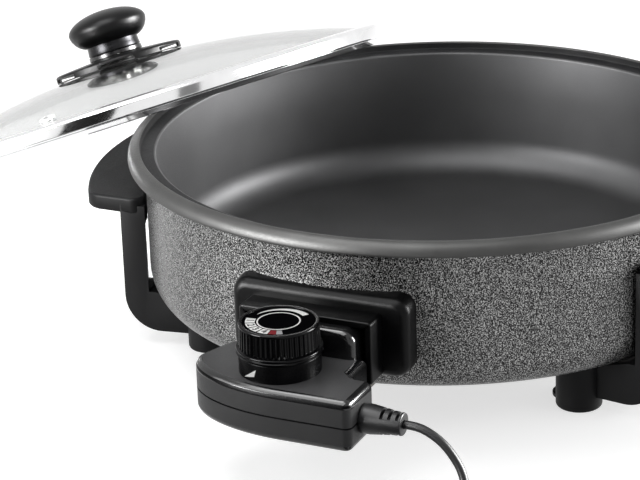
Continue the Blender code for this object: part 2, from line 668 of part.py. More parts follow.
def grip_outline():
    """The half-moon grip seen from above: outer curve, rounded corners, pan side."""
    centre = GRIP_REACH - GRIP_CURVE_RADIUS
    inner = HANDLE_CLEAR_RADIUS
    end_y = GRIP_HALF_LENGTH - GRIP_OUTER_CORNER
    corner_run = GRIP_CURVE_RADIUS - GRIP_OUTER_CORNER
    corner_x = centre + math.sqrt(corner_run ** 2 - end_y ** 2)
    corner_angle = math.atan2(end_y, corner_x - centre)
    inner_y = GRIP_HALF_LENGTH - GRIP_INNER_CORNER
    inner_x = math.sqrt((inner + GRIP_INNER_CORNER) ** 2 - inner_y ** 2)
    inner_angle = math.atan2(inner_y, inner_x)
    half = arc((centre, 0), (GRIP_CURVE_RADIUS, GRIP_CURVE_RADIUS), 0, corner_angle, 8)[:-1]
    half += arc((corner_x, end_y), (GRIP_OUTER_CORNER, GRIP_OUTER_CORNER), corner_angle,
                math.pi / 2, 4)
    half += arc((inner_x, inner_y), (GRIP_INNER_CORNER, GRIP_INNER_CORNER), math.pi / 2,
                math.pi + inner_angle, 4)[:-1]
    half += arc((0, 0), (inner, inner), inner_angle, 0, 8)
    lower = [(x, -y) for x, y in reversed(half[1:-1])]
    return half + lower


def leg_profile():
    """The L of a leg and its bar seen from the side: distance inward from the outer face, height."""
    grip_middle = GRIP_TOP - GRIP_THICKNESS / 2
    corner = arc((LEG_CORNER, LEG_BOTTOM + LEG_CORNER), (LEG_CORNER, LEG_CORNER), math.pi,
                 1.5 * math.pi, 6)
    inner = arc((BAR_REACH / 2, BAR_TOP + LEG_WALL_INSET), (BAR_REACH / 2 - LEG_WALL_INSET,
                LEG_WALL_INSET), 1.5 * math.pi, math.pi, 4)
    return ([(0, grip_middle)] + corner + [(BAR_REACH, LEG_BOTTOM), (BAR_REACH, BAR_TOP)] + inner
            + [(LEG_WALL_INSET, grip_middle)])


# Handles: grip, two legs, two bars and two feet in one black moulding a side
handle_clear = turned("handle_clear", table,
                      [(0, RIM_HEIGHT), (HANDLE_CLEAR_RADIUS, RIM_HEIGHT)]
                      + arc((BOTTOM_RADIUS + WALL_TO_HANDLE, WALL_FOOT_HEIGHT),
                            (WALL_RADIUS - BOTTOM_RADIUS, WALL_FOOT_HEIGHT - BOTTOM_HEIGHT + GAP),
                            0, -math.pi / 2, FILLET_POINTS) + [(0, BOTTOM_HEIGHT - GAP)], PAN_STEPS)
foot_top = BOTTOM_HEIGHT - BOSS_HEIGHT - GAP
for side, word in ((-1, "left"), (1, "right")):
    facing = Matrix.Rotation(0 if side > 0 else math.pi, 3, "Z")
    handle = plate(f"handle_{word}", table, grip_outline(), GRIP_TOP - GRIP_THICKNESS, GRIP_TOP, facing)
    bevel(handle, GRIP_EDGE, 1)
    for end in (-1, 1):
        tag = f"{word}_{end}"
        azimuth = end * LEG_AZIMUTH
        turn = facing @ Matrix.Rotation(end * LEG_TURN + math.pi, 3, "Z") @ Matrix.Rotation(
            math.pi / 2, 3, "X")
        face = facing @ Vector((LEG_CENTRE_RADIUS * math.cos(azimuth),
                                LEG_CENTRE_RADIUS * math.sin(azimuth), 0))
        leg = plate(f"leg_{tag}", table, leg_profile(), -LEG_WIDTH / 2, LEG_WIDTH / 2, turn, face)
        bevel(leg, GRIP_EDGE, 1)
        x, y = foot_place(side, side * end)
        foot = turned(f"foot_{tag}", table,
                      [(0, foot_top), (FOOT_RADIUS, foot_top), (FOOT_RADIUS, FOOT_CHAMFER),
                       (FOOT_RADIUS - FOOT_CHAMFER, 0), (0, 0)], CAP_SEGMENTS, (x, y, 0))
        join(handle, leg, foot)
    cut(handle, handle_clear)
    for end in (-1, 1):
        tag = f"{word}_{end}"
        x, y = foot_place(side, side * end)
        bore = cylinder(f"foot_bore_{tag}", table, FOOT_BORE_RADIUS, (x, y, -OVERRUN),
                        (x, y, FOOT_SCREW_HEAD_LEVEL), CAP_SEGMENTS // 2)
        hole = cylinder(f"foot_hole_{tag}", table, FOOT_SCREW_RADIUS + SCREW_FIT, (x, y, -OVERRUN),
                        (x, y, foot_top + OVERRUN), CAP_SEGMENTS // 2)
        cut(handle, bore, hole)
        row = "front" if side * end < 0 else "rear"
        level = FOOT_SCREW_HEAD_LEVEL - GAP
        screw = turned(f"foot_screw_{word}_{row}", table,
                       [(0, BOTTOM_HEIGHT + FOOT_SCREW_REACH),
                        (FOOT_SCREW_RADIUS, BOTTOM_HEIGHT + FOOT_SCREW_REACH),
                        (FOOT_SCREW_RADIUS, level), (FOOT_SCREW_HEAD_RADIUS, level),
                        (FOOT_SCREW_HEAD_RADIUS, level - FOOT_SCREW_HEAD_HEIGHT),
                        (0, level - FOOT_SCREW_HEAD_HEIGHT)], CAP_SEGMENTS // 2, (x, y, 0))
        finish(screw, (0.6, 0.6, 0.6), 0.35, 1.0)
    finish(handle, (0.020, 0.020, 0.021), 0.5)


# The lid's seat: it leans with its hem on the table and on the pan's rim
LEAN = (Matrix.Rotation(LID_AZIMUTH, 3, "Z") @ Matrix.Rotation(LID_LEAN, 3, "Y")
        @ Matrix.Rotation(-LID_AZIMUTH, 3, "Z"))
HEM_LOW = Vector((SKIRT_RADIUS - HEM_WIDTH / 2, -SKIRT_DEPTH - BAND_SHEET / 2))
hem_circle = [LEAN @ Vector((HEM_LOW.x * math.cos(a), HEM_LOW.x * math.sin(a), HEM_LOW.y))
              for a in (2 * math.pi * i / 720 for i in range(720))]
seat_height = -min(point.z for point in hem_circle)


def rim_surface(radius):
    """Height of the pan's rim at a distance from its axis, or None beside it."""
    if radius < CREST_RADIUS or radius > RIM_RADIUS:
        return None
    share = (radius - CREST_RADIUS) / (RIM_RADIUS - CREST_RADIUS)
    return band_bottom + RIM_BAND_HEIGHT * math.sqrt(1 - share ** 2)


def hem_clearance(distance):
    """Least height of the lid's hem over the pan's rim, with the lid's axis this far away."""
    centre = Vector((distance * math.cos(LID_BEARING), distance * math.sin(LID_BEARING), seat_height))
    heights = []
    for point in hem_circle:
        place = centre + point
        below = rim_surface(place.xy.length)
        if below is not None:
            heights.append(place.z - below)
    return min(heights, default=RIM_HEIGHT)


near, far = RIM_RADIUS, RIM_RADIUS + GLASS_RADIUS * math.cos(LID_LEAN)
for _ in range(40):
    middle = (near + far) / 2
    if hem_clearance(middle) < LID_TO_RIM:
        near = middle
    else:
        far = middle
lid_distance = far
print(f"lid axis {lid_distance:.4f} m from the pan's axis, seat {seat_height:.4f} m above the table")
lid_seat = make_empty("lid_seat", table, (lid_distance * math.cos(LID_BEARING),
                                          lid_distance * math.sin(LID_BEARING), seat_height))
lid_seat.rotation_euler = LEAN.to_euler()

# Glass: a shallow dome of even thickness with a hole for the knob screw and one for steam
glass_rise = GLASS_APEX - GLASS_EDGE_HEIGHT
glass_sphere = (GLASS_RADIUS ** 2 + glass_rise ** 2) / (2 * glass_rise)


def glass_height(radius):
    """The dome's outer surface."""
    return GLASS_APEX - glass_sphere + math.sqrt(glass_sphere ** 2 - radius ** 2)


glass_radii = [GLASS_HOLE_RADIUS + (GLASS_RADIUS - GLASS_HOLE_RADIUS) * i / GLASS_RINGS
               for i in range(GLASS_RINGS + 1)]
glass_outline = [(r, glass_height(r)) for r in glass_radii]
glass_outline += [(r, glass_height(r) - GLASS_THICKNESS) for r in reversed(glass_radii)]
glass = turned("lid_glass", lid_seat, glass_outline, LID_STEPS, closed=True)
vent_height = glass_height(VENT_RADIUS)
vent_slope = math.asin(VENT_RADIUS / glass_sphere)
vent_place = Vector((VENT_RADIUS * math.cos(VENT_AZIMUTH), VENT_RADIUS * math.sin(VENT_AZIMUTH),
                     vent_height))
vent_turn = Matrix.Rotation(VENT_AZIMUTH, 3, "Z") @ Matrix.Rotation(vent_slope, 3, "Y")
vent_axis = vent_turn @ Vector((0, 0, 1))
vent_hole = cylinder("vent_hole", lid_seat, VENT_HOLE_RADIUS, vent_place - vent_axis * 2 * GLASS_THICKNESS,
                     vent_place + vent_axis * GLASS_THICKNESS, CAP_SEGMENTS // 2)
cut(glass, vent_hole)
finish(glass, (0.80, 0.84, 0.83), 0.05)

# Vent eyelet: a steel rivet flared on both faces of the glass
below_glass = -GLASS_THICKNESS - GAP - VENT_FLANGE_HEIGHT / 2
eyelet = turned("vent_eyelet", lid_seat,
                [(VENT_BORE_RADIUS, GAP + VENT_FLANGE_HEIGHT), (VENT_FLANGE_RADIUS, GAP + VENT_FLANGE_HEIGHT / 2),
                 (VENT_FLANGE_RADIUS, GAP), (VENT_TUBE_RADIUS, GAP),
                 (VENT_TUBE_RADIUS, below_glass), (VENT_FLANGE_RADIUS, below_glass),
                 (VENT_FLANGE_RADIUS, below_glass - VENT_FLANGE_HEIGHT / 2),
                 (VENT_BORE_RADIUS, below_glass - VENT_FLANGE_HEIGHT)],
                CAP_SEGMENTS // 2, vent_place, vent_turn, closed=True)
finish(eyelet, (0.7, 0.7, 0.7), 0.25, 1.0)

# Rim band: thin steel, crimped over the glass, with a stepped skirt and a folded hem
inner_skirt = SKIRT_RADIUS - HEM_WIDTH
band_outline = [
    (CRIMP_RADIUS, CRIMP_HEIGHT),
    (GLASS_RADIUS + BAND_SHEET, CRIMP_HEIGHT),
    (BAND_RADIUS - 2 * BAND_SHEET, CRIMP_HEIGHT - 2 * BAND_SHEET),
    (BAND_RADIUS - BAND_SHEET / 2, CRIMP_HEIGHT / 2),
    (BAND_RADIUS, BAND_SHEET),
    (BAND_RADIUS - BAND_SHEET / 2, -BAND_SHEET / 4),
    (SKIRT_RADIUS, -3 * BAND_SHEET / 2),
    (SKIRT_RADIUS, HEM_WIDTH / 2 - SKIRT_DEPTH),
    (SKIRT_RADIUS - HEM_WIDTH / 2, -SKIRT_DEPTH),
    (inner_skirt, HEM_WIDTH / 2 - SKIRT_DEPTH),
    (inner_skirt, -SHELF_DEPTH - BAND_SHEET / 4),
    (GASKET_RADIUS - GASKET_WIDTH, -SHELF_DEPTH),
]
band = turned("lid_rim", lid_seat, band_outline, LID_STEPS, sheet=BAND_SHEET)
finish(band, (0.75, 0.75, 0.76), 0.12, 1.0)
gasket_low = BAND_SHEET / 2 + GAP - SHELF_DEPTH
gasket_high = GLASS_EDGE_HEIGHT - GLASS_THICKNESS - GAP
gasket = turned("lid_gasket", lid_seat,
                ring_section(GASKET_RADIUS - GASKET_WIDTH, GASKET_RADIUS, gasket_low,
                             gasket_high), LID_STEPS, closed=True)
finish(gasket, (0.5, 0.5, 0.5), 0.7)

# Lid knob: washer, slotted finger guard, base ring, collar and head, drawn down by one screw
level = GLASS_APEX + GAP
washer = turned("knob_washer", lid_seat,
                ring_section(GLASS_HOLE_RADIUS, OUTER_WASHER_RADIUS, level,
                             level + OUTER_WASHER_HEIGHT), KNOB_STEPS, closed=True)
finish(washer, (0.35, 0.35, 0.35), 0.7)
guard_low = GLASS_APEX - FINGER_GUARD_LIFT
guard_top = guard_low + FINGER_GUARD_TOP
edge_top = guard_low + FINGER_GUARD_EDGE_HEIGHT
hub_low = level + OUTER_WASHER_HEIGHT + GAP
shoulder = FINGER_GUARD_RADIUS - FINGER_GUARD_WALL
finger_guard = turned("knob_finger_guard", lid_seat, [
    (KNOB_BORE_RADIUS, guard_top),
    (BASE_RING_RADIUS, guard_top),
    (shoulder, guard_top - FINGER_GUARD_DROP),
    (FINGER_GUARD_RADIUS - GAP, edge_top - GAP),
    (FINGER_GUARD_RADIUS, edge_top - FINGER_GUARD_WALL),
    (FINGER_GUARD_RADIUS, guard_low),
    (shoulder, guard_low),
    (shoulder, guard_top - FINGER_GUARD_DROP - FINGER_GUARD_WALL),
    (OUTER_WASHER_RADIUS, guard_top - FINGER_GUARD_WALL),
    (OUTER_WASHER_RADIUS, hub_low),
    (KNOB_BORE_RADIUS, hub_low),
], KNOB_STEPS + KNOB_STEPS // 4, closed=True)
window_half = FINGER_GUARD_RADIUS * math.sin(WINDOW_ARC / 2)
for index in range(WINDOW_COUNT):
    turn = Matrix.Rotation(2 * math.pi * index / WINDOW_COUNT, 3, "Z")
    window = box(f"knob_window_{index}", lid_seat,
                 (FINGER_GUARD_RADIUS - 3 * FINGER_GUARD_WALL, -window_half, guard_low + WINDOW_SILL),
                 (FINGER_GUARD_RADIUS + OVERRUN, window_half, guard_low + WINDOW_SILL + WINDOW_HEIGHT))
    window.location = turn @ window.location
    window.rotation_euler = turn.to_euler()
    cut(finger_guard, window)
finish(finger_guard, (0.020, 0.020, 0.021), 0.35)
level = guard_top + GAP
base_ring = turned("knob_base_ring", lid_seat,
                   ring_section(KNOB_BORE_RADIUS, BASE_RING_RADIUS, level,
                                level + BASE_RING_HEIGHT), KNOB_STEPS, closed=True)
finish(base_ring, (0.018, 0.018, 0.019), 0.25)
level += BASE_RING_HEIGHT + GAP
collar = turned("knob_collar", lid_seat,
                [(COLLAR_TOP_RADIUS, level + COLLAR_HEIGHT), (COLLAR_RADIUS, level),
                 (KNOB_BORE_RADIUS, level), (KNOB_BORE_RADIUS, level + COLLAR_HEIGHT)],
                KNOB_STEPS, closed=True)
finish(collar, (0.12, 0.12, 0.125), 0.2, 0.9)
level += COLLAR_HEIGHT + GAP
belly = level + HEAD_HEIGHT * HEAD_BELLY_SHARE
head_outline = arc((0, belly), (HEAD_RADIUS, level + HEAD_HEIGHT - belly), math.pi / 2, 0,
                   HEAD_ARC_POINTS)
head_outline += arc((COLLAR_TOP_RADIUS, belly), (HEAD_RADIUS - COLLAR_TOP_RADIUS, belly - level),
                    0, -math.pi / 2, HEAD_ARC_POINTS // 2)[1:]
bore_top = level + KNOB_SCREW_GRIP
head_outline += [(KNOB_SCREW_RADIUS + SCREW_FIT, level), (KNOB_SCREW_RADIUS + SCREW_FIT, bore_top),
                 (0, bore_top)]
knob_head = turned("knob_head", lid_seat, head_outline, KNOB_STEPS)
finish(knob_head, (0.025, 0.025, 0.026), 0.4)
under_glass = GLASS_APEX - GLASS_THICKNESS - GAP
inner_washer = turned("inner_washer", lid_seat,
                      ring_section(GLASS_HOLE_RADIUS, INNER_WASHER_RADIUS,
                                   under_glass - INNER_WASHER_HEIGHT, under_glass - GAP),
                      KNOB_STEPS // 2, closed=True)
finish(inner_washer, (0.65, 0.65, 0.65), 0.35, 1.0)
screw_seat = under_glass - INNER_WASHER_HEIGHT - GAP
knob_screw = turned("knob_screw", lid_seat,
                    [(0, bore_top - GAP), (KNOB_SCREW_RADIUS, bore_top - GAP),
                     (KNOB_SCREW_RADIUS, screw_seat), (KNOB_SCREW_HEAD_RADIUS, screw_seat),
                     (KNOB_SCREW_HEAD_RADIUS, screw_seat - KNOB_SCREW_HEAD_HEIGHT / 2),
                     (0, screw_seat - KNOB_SCREW_HEAD_HEIGHT)], CAP_SEGMENTS // 2)
finish(knob_screw, (0.65, 0.65, 0.65), 0.3, 1.0)


# Heat control: two half shells with a neck that enters the guard's sleeve and a drum for the dial
def housing_outline(inset=0.0):
    """The housing seen from above, drawn in by the wall's thickness for its hollow."""
    corner = HOUSING_CORNER - inset / 2
    right = HOUSING_RIGHT - inset
    front = HOUSING_FRONT_Y + inset
    shoulder_y = SHOULDER_Y - inset
    outline = arc((right - corner, front + corner), (corner, corner), 0, -math.pi / 2, 4)
    outline += arc((SWEEP_X, SWEEP_Y), (SWEEP_HALF_X - inset, SWEEP_Y - front), -math.pi / 2,
                   -math.pi, SWEEP_POINTS)
    outline += [(inset - HOUSING_LEFT_REAR, HOUSING_REAR_Y - inset),
                (SHOULDER_X - inset, HOUSING_REAR_Y - inset),
                (SHOULDER_X - inset, shoulder_y + corner)]
    outline += [(SHOULDER_X - inset + corner, shoulder_y)]
    outline += arc((right - corner, shoulder_y - corner), (corner, corner), math.pi / 2, 0, 4)
    return outline


def housing_half(name, upper):
    """One half shell, cut from the whole housing at the parting line."""
    shell = plate(name, socket_seat, housing_outline(), HOUSING_BOTTOM, HOUSING_TOP)
    bevel(shell, HOUSING_EDGE, 2, math.radians(60))
    hollow = plate(name + "_hollow", socket_seat, housing_outline(HOUSING_WALL),
                   HOUSING_BOTTOM + HOUSING_WALL, HOUSING_TOP - HOUSING_WALL)
    reach = 2 * HOUSING_RIGHT
    if upper:
        neck = plate(name + "_neck", socket_seat,
                     rounded_box((-NECK_HALF_WIDTH, NECK_BOTTOM), (NECK_HALF_WIDTH, NECK_TOP),
                                 NECK_CORNER), -NECK_REAR_Y, -NECK_FRONT_Y, FACING_FRONT)
        bevel(neck, NECK_EDGE, 2, math.radians(60))
        drum = cylinder(name + "_drum", socket_seat, DRUM_RADIUS, (0, DIAL_Y, PARTING),
                        (0, DIAL_Y, DRUM_TOP), 2 * CAP_SEGMENTS)
        bevel(drum, DRUM_EDGE)
        join(shell, neck, drum)
        neck_hollow = plate(name + "_neck_hollow", socket_seat,
                            rounded_box((HOUSING_WALL - NECK_HALF_WIDTH, NECK_BOTTOM + HOUSING_WALL),
                                        (NECK_HALF_WIDTH - HOUSING_WALL, NECK_TOP - HOUSING_WALL),
                                        NECK_CORNER - HOUSING_WALL),
                            HOUSING_WALL + GAP - NECK_REAR_Y, -NECK_FRONT_Y - HOUSING_WALL,
                            FACING_FRONT)
        passage = box(name + "_passage", socket_seat,
                      (HOUSING_WALL - NECK_HALF_WIDTH, NECK_FRONT_Y - 2 * OVERRUN,
                       NECK_BOTTOM + HOUSING_WALL),
                      (NECK_HALF_WIDTH - HOUSING_WALL, NECK_FRONT_Y + 2 * OVERRUN,
                       HOUSING_TOP - HOUSING_WALL - GAP))
        drum_hollow = cylinder(name + "_drum_hollow", socket_seat, DRUM_RADIUS - HOUSING_WALL,
                               (0, DIAL_Y, HOUSING_TOP - 2 * HOUSING_WALL),
                               (0, DIAL_Y, DRUM_TOP - HOUSING_WALL), CAP_SEGMENTS)
        cut(shell, hollow, neck_hollow, passage, drum_hollow)
        low, high = PARTING + GAP / 2, HOUSING_TOP - HOUSING_WALL / 2
        below = box(name + "_below", socket_seat, (-reach, HOUSING_FRONT_Y - reach, HOUSING_BOTTOM - OVERRUN),
                    (reach, NECK_FRONT_Y - OVERRUN, PARTING + GAP / 2))
        behind = box(name + "_behind", socket_seat, (-reach, NECK_FRONT_Y - 2 * OVERRUN, HOUSING_BOTTOM - OVERRUN),
                     (reach, HOUSING_REAR_Y + OVERRUN, PARTING + GAP / 2))
        cut(shell, below, behind)
        shaft_hole = cylinder(name + "_shaft_hole", socket_seat, SHAFT_RADIUS + PASSING_FIT,
                              (0, DIAL_Y, HOUSING_TOP), (0, DIAL_Y, DRUM_TOP + OVERRUN))
        probe_way = cylinder(name + "_probe_way", socket_seat, PROBE_RADIUS + PASSING_FIT,
                             (0, NECK_REAR_Y + OVERRUN, 0),
                             (0, NECK_REAR_Y - 2 * HOUSING_WALL, 0))
        cut(shell, shaft_hole, probe_way)
        for side in (-1, 1):
            pin_way = cylinder(f"{name}_pin_way_{side}", socket_seat, PIN_RADIUS + PASSING_FIT,
                               (side * ELEMENT_END_X, NECK_REAR_Y + OVERRUN, 0),
                               (side * ELEMENT_END_X, NECK_REAR_Y - 2 * HOUSING_WALL, 0))
            cut(shell, pin_way)
    else:
        low, high = HOUSING_BOTTOM + HOUSING_WALL / 2, PARTING - GAP / 2
        above = box(name + "_above", socket_seat, (-reach, HOUSING_FRONT_Y - reach, PARTING - GAP / 2),
                    (reach, reach, DIAL_TOP))
        cut(shell, hollow, above)
    for index, (x, y) in enumerate(SHELL_SCREW_PLACES):
        boss = cylinder(f"{name}_boss_{index}", socket_seat, SHELL_BOSS_RADIUS, (x, y, low), (x, y, high),
                        CAP_SEGMENTS // 2)
        hole_low = HOUSING_BOTTOM - OVERRUN
        hole = cylinder(f"{name}_boss_hole_{index}", socket_seat, SHELL_SCREW_RADIUS + SCREW_FIT,
                        (x, y, hole_low), (x, y, HOUSING_TOP - 2 * HOUSING_WALL), CAP_SEGMENTS // 2)
        join(shell, boss)
        cut(shell, hole)
        if not upper:
            head_room = cylinder(f"{name}_head_room_{index}", socket_seat,
                                 SHELL_SCREW_HEAD_RADIUS + SCREW_FIT, (x, y, hole_low),
                                 (x, y, SHELL_SCREW_HEAD_LEVEL), CAP_SEGMENTS // 2)
            cut(shell, head_room)
    boot_way = cylinder(name + "_boot_way", socket_seat, BOOT_NECK_RADIUS + GAP,
                        (BOOT_START_X - OVERRUN, BOOT_Y, PARTING),
                        (HOUSING_RIGHT + OVERRUN, BOOT_Y, PARTING))
    flange_room = cylinder(name + "_flange_room", socket_seat, BOOT_FLANGE_RADIUS + GAP,
                           (BOOT_START_X - OVERRUN, BOOT_Y, PARTING),
                           (HOUSING_RIGHT - HOUSING_WALL, BOOT_Y, PARTING))
    cut(shell, boot_way, flange_room)
    return finish(shell, (0.022, 0.022, 0.023), 0.22)


housing_half("control_shell_upper", True)
housing_half("control_shell_lower", False)
for word, (x, y) in zip(("left", "right"), SHELL_SCREW_PLACES):
    level = SHELL_SCREW_HEAD_LEVEL - GAP
    tip = HOUSING_TOP - 2 * HOUSING_WALL - GAP
    screw = turned(f"shell_screw_{word}", socket_seat,
                   [(0, tip), (SHELL_SCREW_RADIUS, tip), (SHELL_SCREW_RADIUS, level),
                    (SHELL_SCREW_HEAD_RADIUS, level),
                    (SHELL_SCREW_HEAD_RADIUS, level - SHELL_SCREW_HEAD_HEIGHT),
                    (0, level - SHELL_SCREW_HEAD_HEIGHT)], CAP_SEGMENTS // 2, (x, y, 0))
    finish(screw, (0.6, 0.6, 0.6), 0.35, 1.0)

# Inside the control: block, contacts, probe, bimetal blade and contact blade
block = box("insulating_block", socket_seat, (-BLOCK_HALF_WIDTH, BLOCK_FRONT_Y, BLOCK_BOTTOM),
            (BLOCK_HALF_WIDTH, BLOCK_REAR_Y, BLOCK_TOP))
finish(block, (0.45, 0.40, 0.33), 0.7)
for side, word in ((-1, "left"), (1, "right")):
    contact = turned(f"contact_socket_{word}", socket_seat,
                     ring_section(PIN_RADIUS + GAP, CONTACT_OUTER_RADIUS,
                                  0, CONTACT_REAR_Y - BLOCK_REAR_Y - GAP), CAP_SEGMENTS // 2,
                     (side * ELEMENT_END_X, CONTACT_REAR_Y, 0), FACING_FRONT, closed=True)
    finish(contact, (0.75, 0.55, 0.22), 0.3, 1.0)
probe = cylinder("probe_rod", socket_seat, PROBE_RADIUS, (0, PROBE_TIP_Y, 0),
                 (0, BLOCK_REAR_Y + GAP, 0))
finish(probe, (0.7, 0.7, 0.7), 0.3, 1.0)
for name, level, colour in (("bimetal_blade", BIMETAL_LEVEL, (0.55, 0.5, 0.42)),
                            ("contact_blade", CONTACT_BLADE_LEVEL, (0.75, 0.5, 0.3))):
    blade = box(name, socket_seat, (-BLADE_WIDTH / 2, BLOCK_FRONT_Y - GAP - BLADE_REACH, level),
                (BLADE_WIDTH / 2, BLOCK_FRONT_Y - GAP, level + BLADE_THICKNESS))
    finish(blade, colour, 0.35, 1.0)

# Dial: turned crown and skirt with a ribbed grip between them, on a shaft
dial_seat = make_empty("dial_seat", socket_seat, (0, DIAL_Y, 0))
dial_bottom = DRUM_TOP + GAP
flange_top = dial_bottom + DIAL_FLANGE_HEIGHT
waist_top = flange_top + DIAL_WAIST_HEIGHT
crown_bottom = DIAL_TOP - DIAL_CROWN_HEIGHT
face_level = DIAL_TOP - DIAL_FACE_DEPTH
socket_top = dial_bottom + DIAL_SOCKET_DEPTH
dial = turned("dial_knob", dial_seat, [
    (0, face_level),
    (DIAL_FACE_RADIUS, face_level),
    (DIAL_FACE_RADIUS + GAP, DIAL_TOP),
    (DIAL_RADIUS - 2 * GAP, DIAL_TOP),
    (DIAL_RADIUS, DIAL_TOP - 2 * GAP),
    (DIAL_RADIUS, crown_bottom),
    (DIAL_WAIST_RADIUS, crown_bottom - GAP),
    (DIAL_WAIST_RADIUS, flange_top + GAP),
    (DIAL_FLANGE_RADIUS - GAP, flange_top),
    (DIAL_FLANGE_RADIUS, flange_top - 2 * GAP),
    (DIAL_FLANGE_RADIUS, dial_bottom),
    (0, dial_bottom),
], DIAL_STEPS)
rib_outline = []
for index in range(RIB_COUNT * RIB_SAMPLES):
    angle = 2 * math.pi * index / (RIB_COUNT * RIB_SAMPLES)
    wave = math.cos(RIB_COUNT * angle)
    radius = DIAL_RADIUS - GAP - RIB_DEPTH / 2 + wave * RIB_DEPTH / 2
    rib_outline.append((radius * math.cos(angle), radius * math.sin(angle)))
ribs = plate("dial_ribs", dial_seat, rib_outline, waist_top, crown_bottom)
shaft_room = cylinder("dial_shaft_room", dial_seat, SHAFT_RADIUS + GAP,
                      (0, 0, dial_bottom - OVERRUN), (0, 0, socket_top))
join(dial, ribs)
cut(dial, shaft_room)
finish(dial, (0.018, 0.018, 0.019), 0.2)
dial_plate = turned("dial_plate", dial_seat,
                    [(0, face_level + GAP + DIAL_PLATE_THICKNESS),
                     (DIAL_FACE_RADIUS - GAP, face_level + GAP + DIAL_PLATE_THICKNESS),
                     (DIAL_FACE_RADIUS - GAP, face_level + GAP), (0, face_level + GAP)], DIAL_STEPS)
finish(dial_plate, (0.02, 0.02, 0.02), 0.3)
dial_shaft = cylinder("dial_shaft", dial_seat, SHAFT_RADIUS, (0, 0, SHAFT_BOTTOM),
                      (0, 0, socket_top - GAP))
finish(dial_shaft, (0.75, 0.73, 0.65), 0.6)

# Cord boot: a tapered strain relief with slots above and below
root_start = HOUSING_RIGHT + GAP - BOOT_START_X
boot_length = BOOT_END_X - BOOT_START_X
wall_inner = HOUSING_RIGHT - HOUSING_WALL - GAP - BOOT_START_X
ALONG_X = Matrix.Rotation(math.pi / 2, 3, "Y")
boot = turned("cord_boot", socket_seat, [
    (0, boot_length),
    (BOOT_TIP_RADIUS - BOOT_FLANGE_WIDTH / 2, boot_length),
    (BOOT_TIP_RADIUS, boot_length - BOOT_FLANGE_WIDTH / 2),
    (BOOT_ROOT_RADIUS, root_start + BOOT_ROOT_LENGTH),
    (BOOT_ROOT_RADIUS, root_start),
    (BOOT_NECK_RADIUS, root_start),
    (BOOT_NECK_RADIUS, wall_inner),
    (BOOT_FLANGE_RADIUS, wall_inner),
    (BOOT_FLANGE_RADIUS, wall_inner - BOOT_FLANGE_WIDTH),
    (0, wall_inner - BOOT_FLANGE_WIDTH),
], CAP_SEGMENTS, (BOOT_START_X, BOOT_Y, PARTING), ALONG_X)
first_slot = BOOT_END_X - BOOT_FLANGE_WIDTH - SLOT_WIDTH - (SLOT_COUNT - 1) * SLOT_PITCH
for index in range(SLOT_COUNT):
    for side in (-1, 1):
        start = first_slot + index * SLOT_PITCH
        slot_faces = sorted((PARTING + side * SLOT_CORE, PARTING + side * 2 * BOOT_ROOT_RADIUS))
        slot = box(f"boot_slot_{index}_{side}", socket_seat,
                   (start, BOOT_Y - BOOT_ROOT_RADIUS - OVERRUN, slot_faces[0]),
                   (start + SLOT_WIDTH, BOOT_Y + BOOT_ROOT_RADIUS + OVERRUN, slot_faces[1]))
        cut(boot, slot)
finish(boot, (0.025, 0.025, 0.026), 0.5)


# Cord: out of the boot, down in one curve to the table, and on to the coil; its places are
# X, Y and the share of the boot's height over the table
cord_seat = make_empty("cord_seat", table, (0, -WALL_RADIUS, 0))
CORD_ROUTE_SHARES = (
    (BOOT_END_X + GAP, BOOT_Y, 1.0),
    (0.0740, -0.0549, 0.9975),
    (0.0790, -0.0549, 0.9700),
    (0.0850, -0.0550, 0.8947),
    (0.0900, -0.0552, 0.7945),
    (0.0950, -0.0557, 0.6466),
    (0.0982, -0.0567, 0.5188),
    (0.1003, -0.0585, 0.3810),
    (0.1017, -0.0617, 0.2381),
    (0.1026, -0.0661, 0.1178),
    (0.1031, -0.0719, 0.0351),
    (0.1032, -0.0779, 0.0),
    (COIL_START.x, COIL_START.y + 2 * CORD_RADIUS + GAP, 0.0),
)
cord_fall = SOCKET_HEIGHT + PARTING - COIL_LEVEL
cord_route = [(x, y, COIL_LEVEL + share * cord_fall) for x, y, share in CORD_ROUTE_SHARES]


def smooth_route(points, spacing):
    """Points at an even spacing on a smooth curve through the route's own points."""
    points = [Vector(point) for point in points]
    ends = [2 * points[0] - points[1], *points, 2 * points[-1] - points[-2]]
    fine = []
    for before, start, end, after in zip(ends, ends[1:], ends[2:], ends[3:]):
        for step in range(12):
            t = step / 12
            fine.append(((2 * start) + (end - before) * t
                         + (2 * before - 5 * start + 4 * end - after) * t ** 2
                         + (3 * start - before - 3 * end + after) * t ** 3) / 2)
    fine.append(points[-1])
    total = sum((b - a).length for a, b in zip(fine, fine[1:]))
    count = max(2, round(total / spacing))
    picked, walked, target = [fine[0]], 0.0, total / count
    for a, b in zip(fine, fine[1:]):
        step = (b - a).length
        while walked + step >= target and len(picked) < count:
            picked.append(a.lerp(b, (target - walked) / step))
            target += total / count
        walked += step
    picked.append(fine[-1])
    return picked, total


free_points, free_length = smooth_route(cord_route, 2 * CORD_RADIUS)
cord_free = tube("cord_free", cord_seat, free_points, CORD_RADIUS)
finish(cord_free, (0.03, 0.03, 0.031), 0.45)


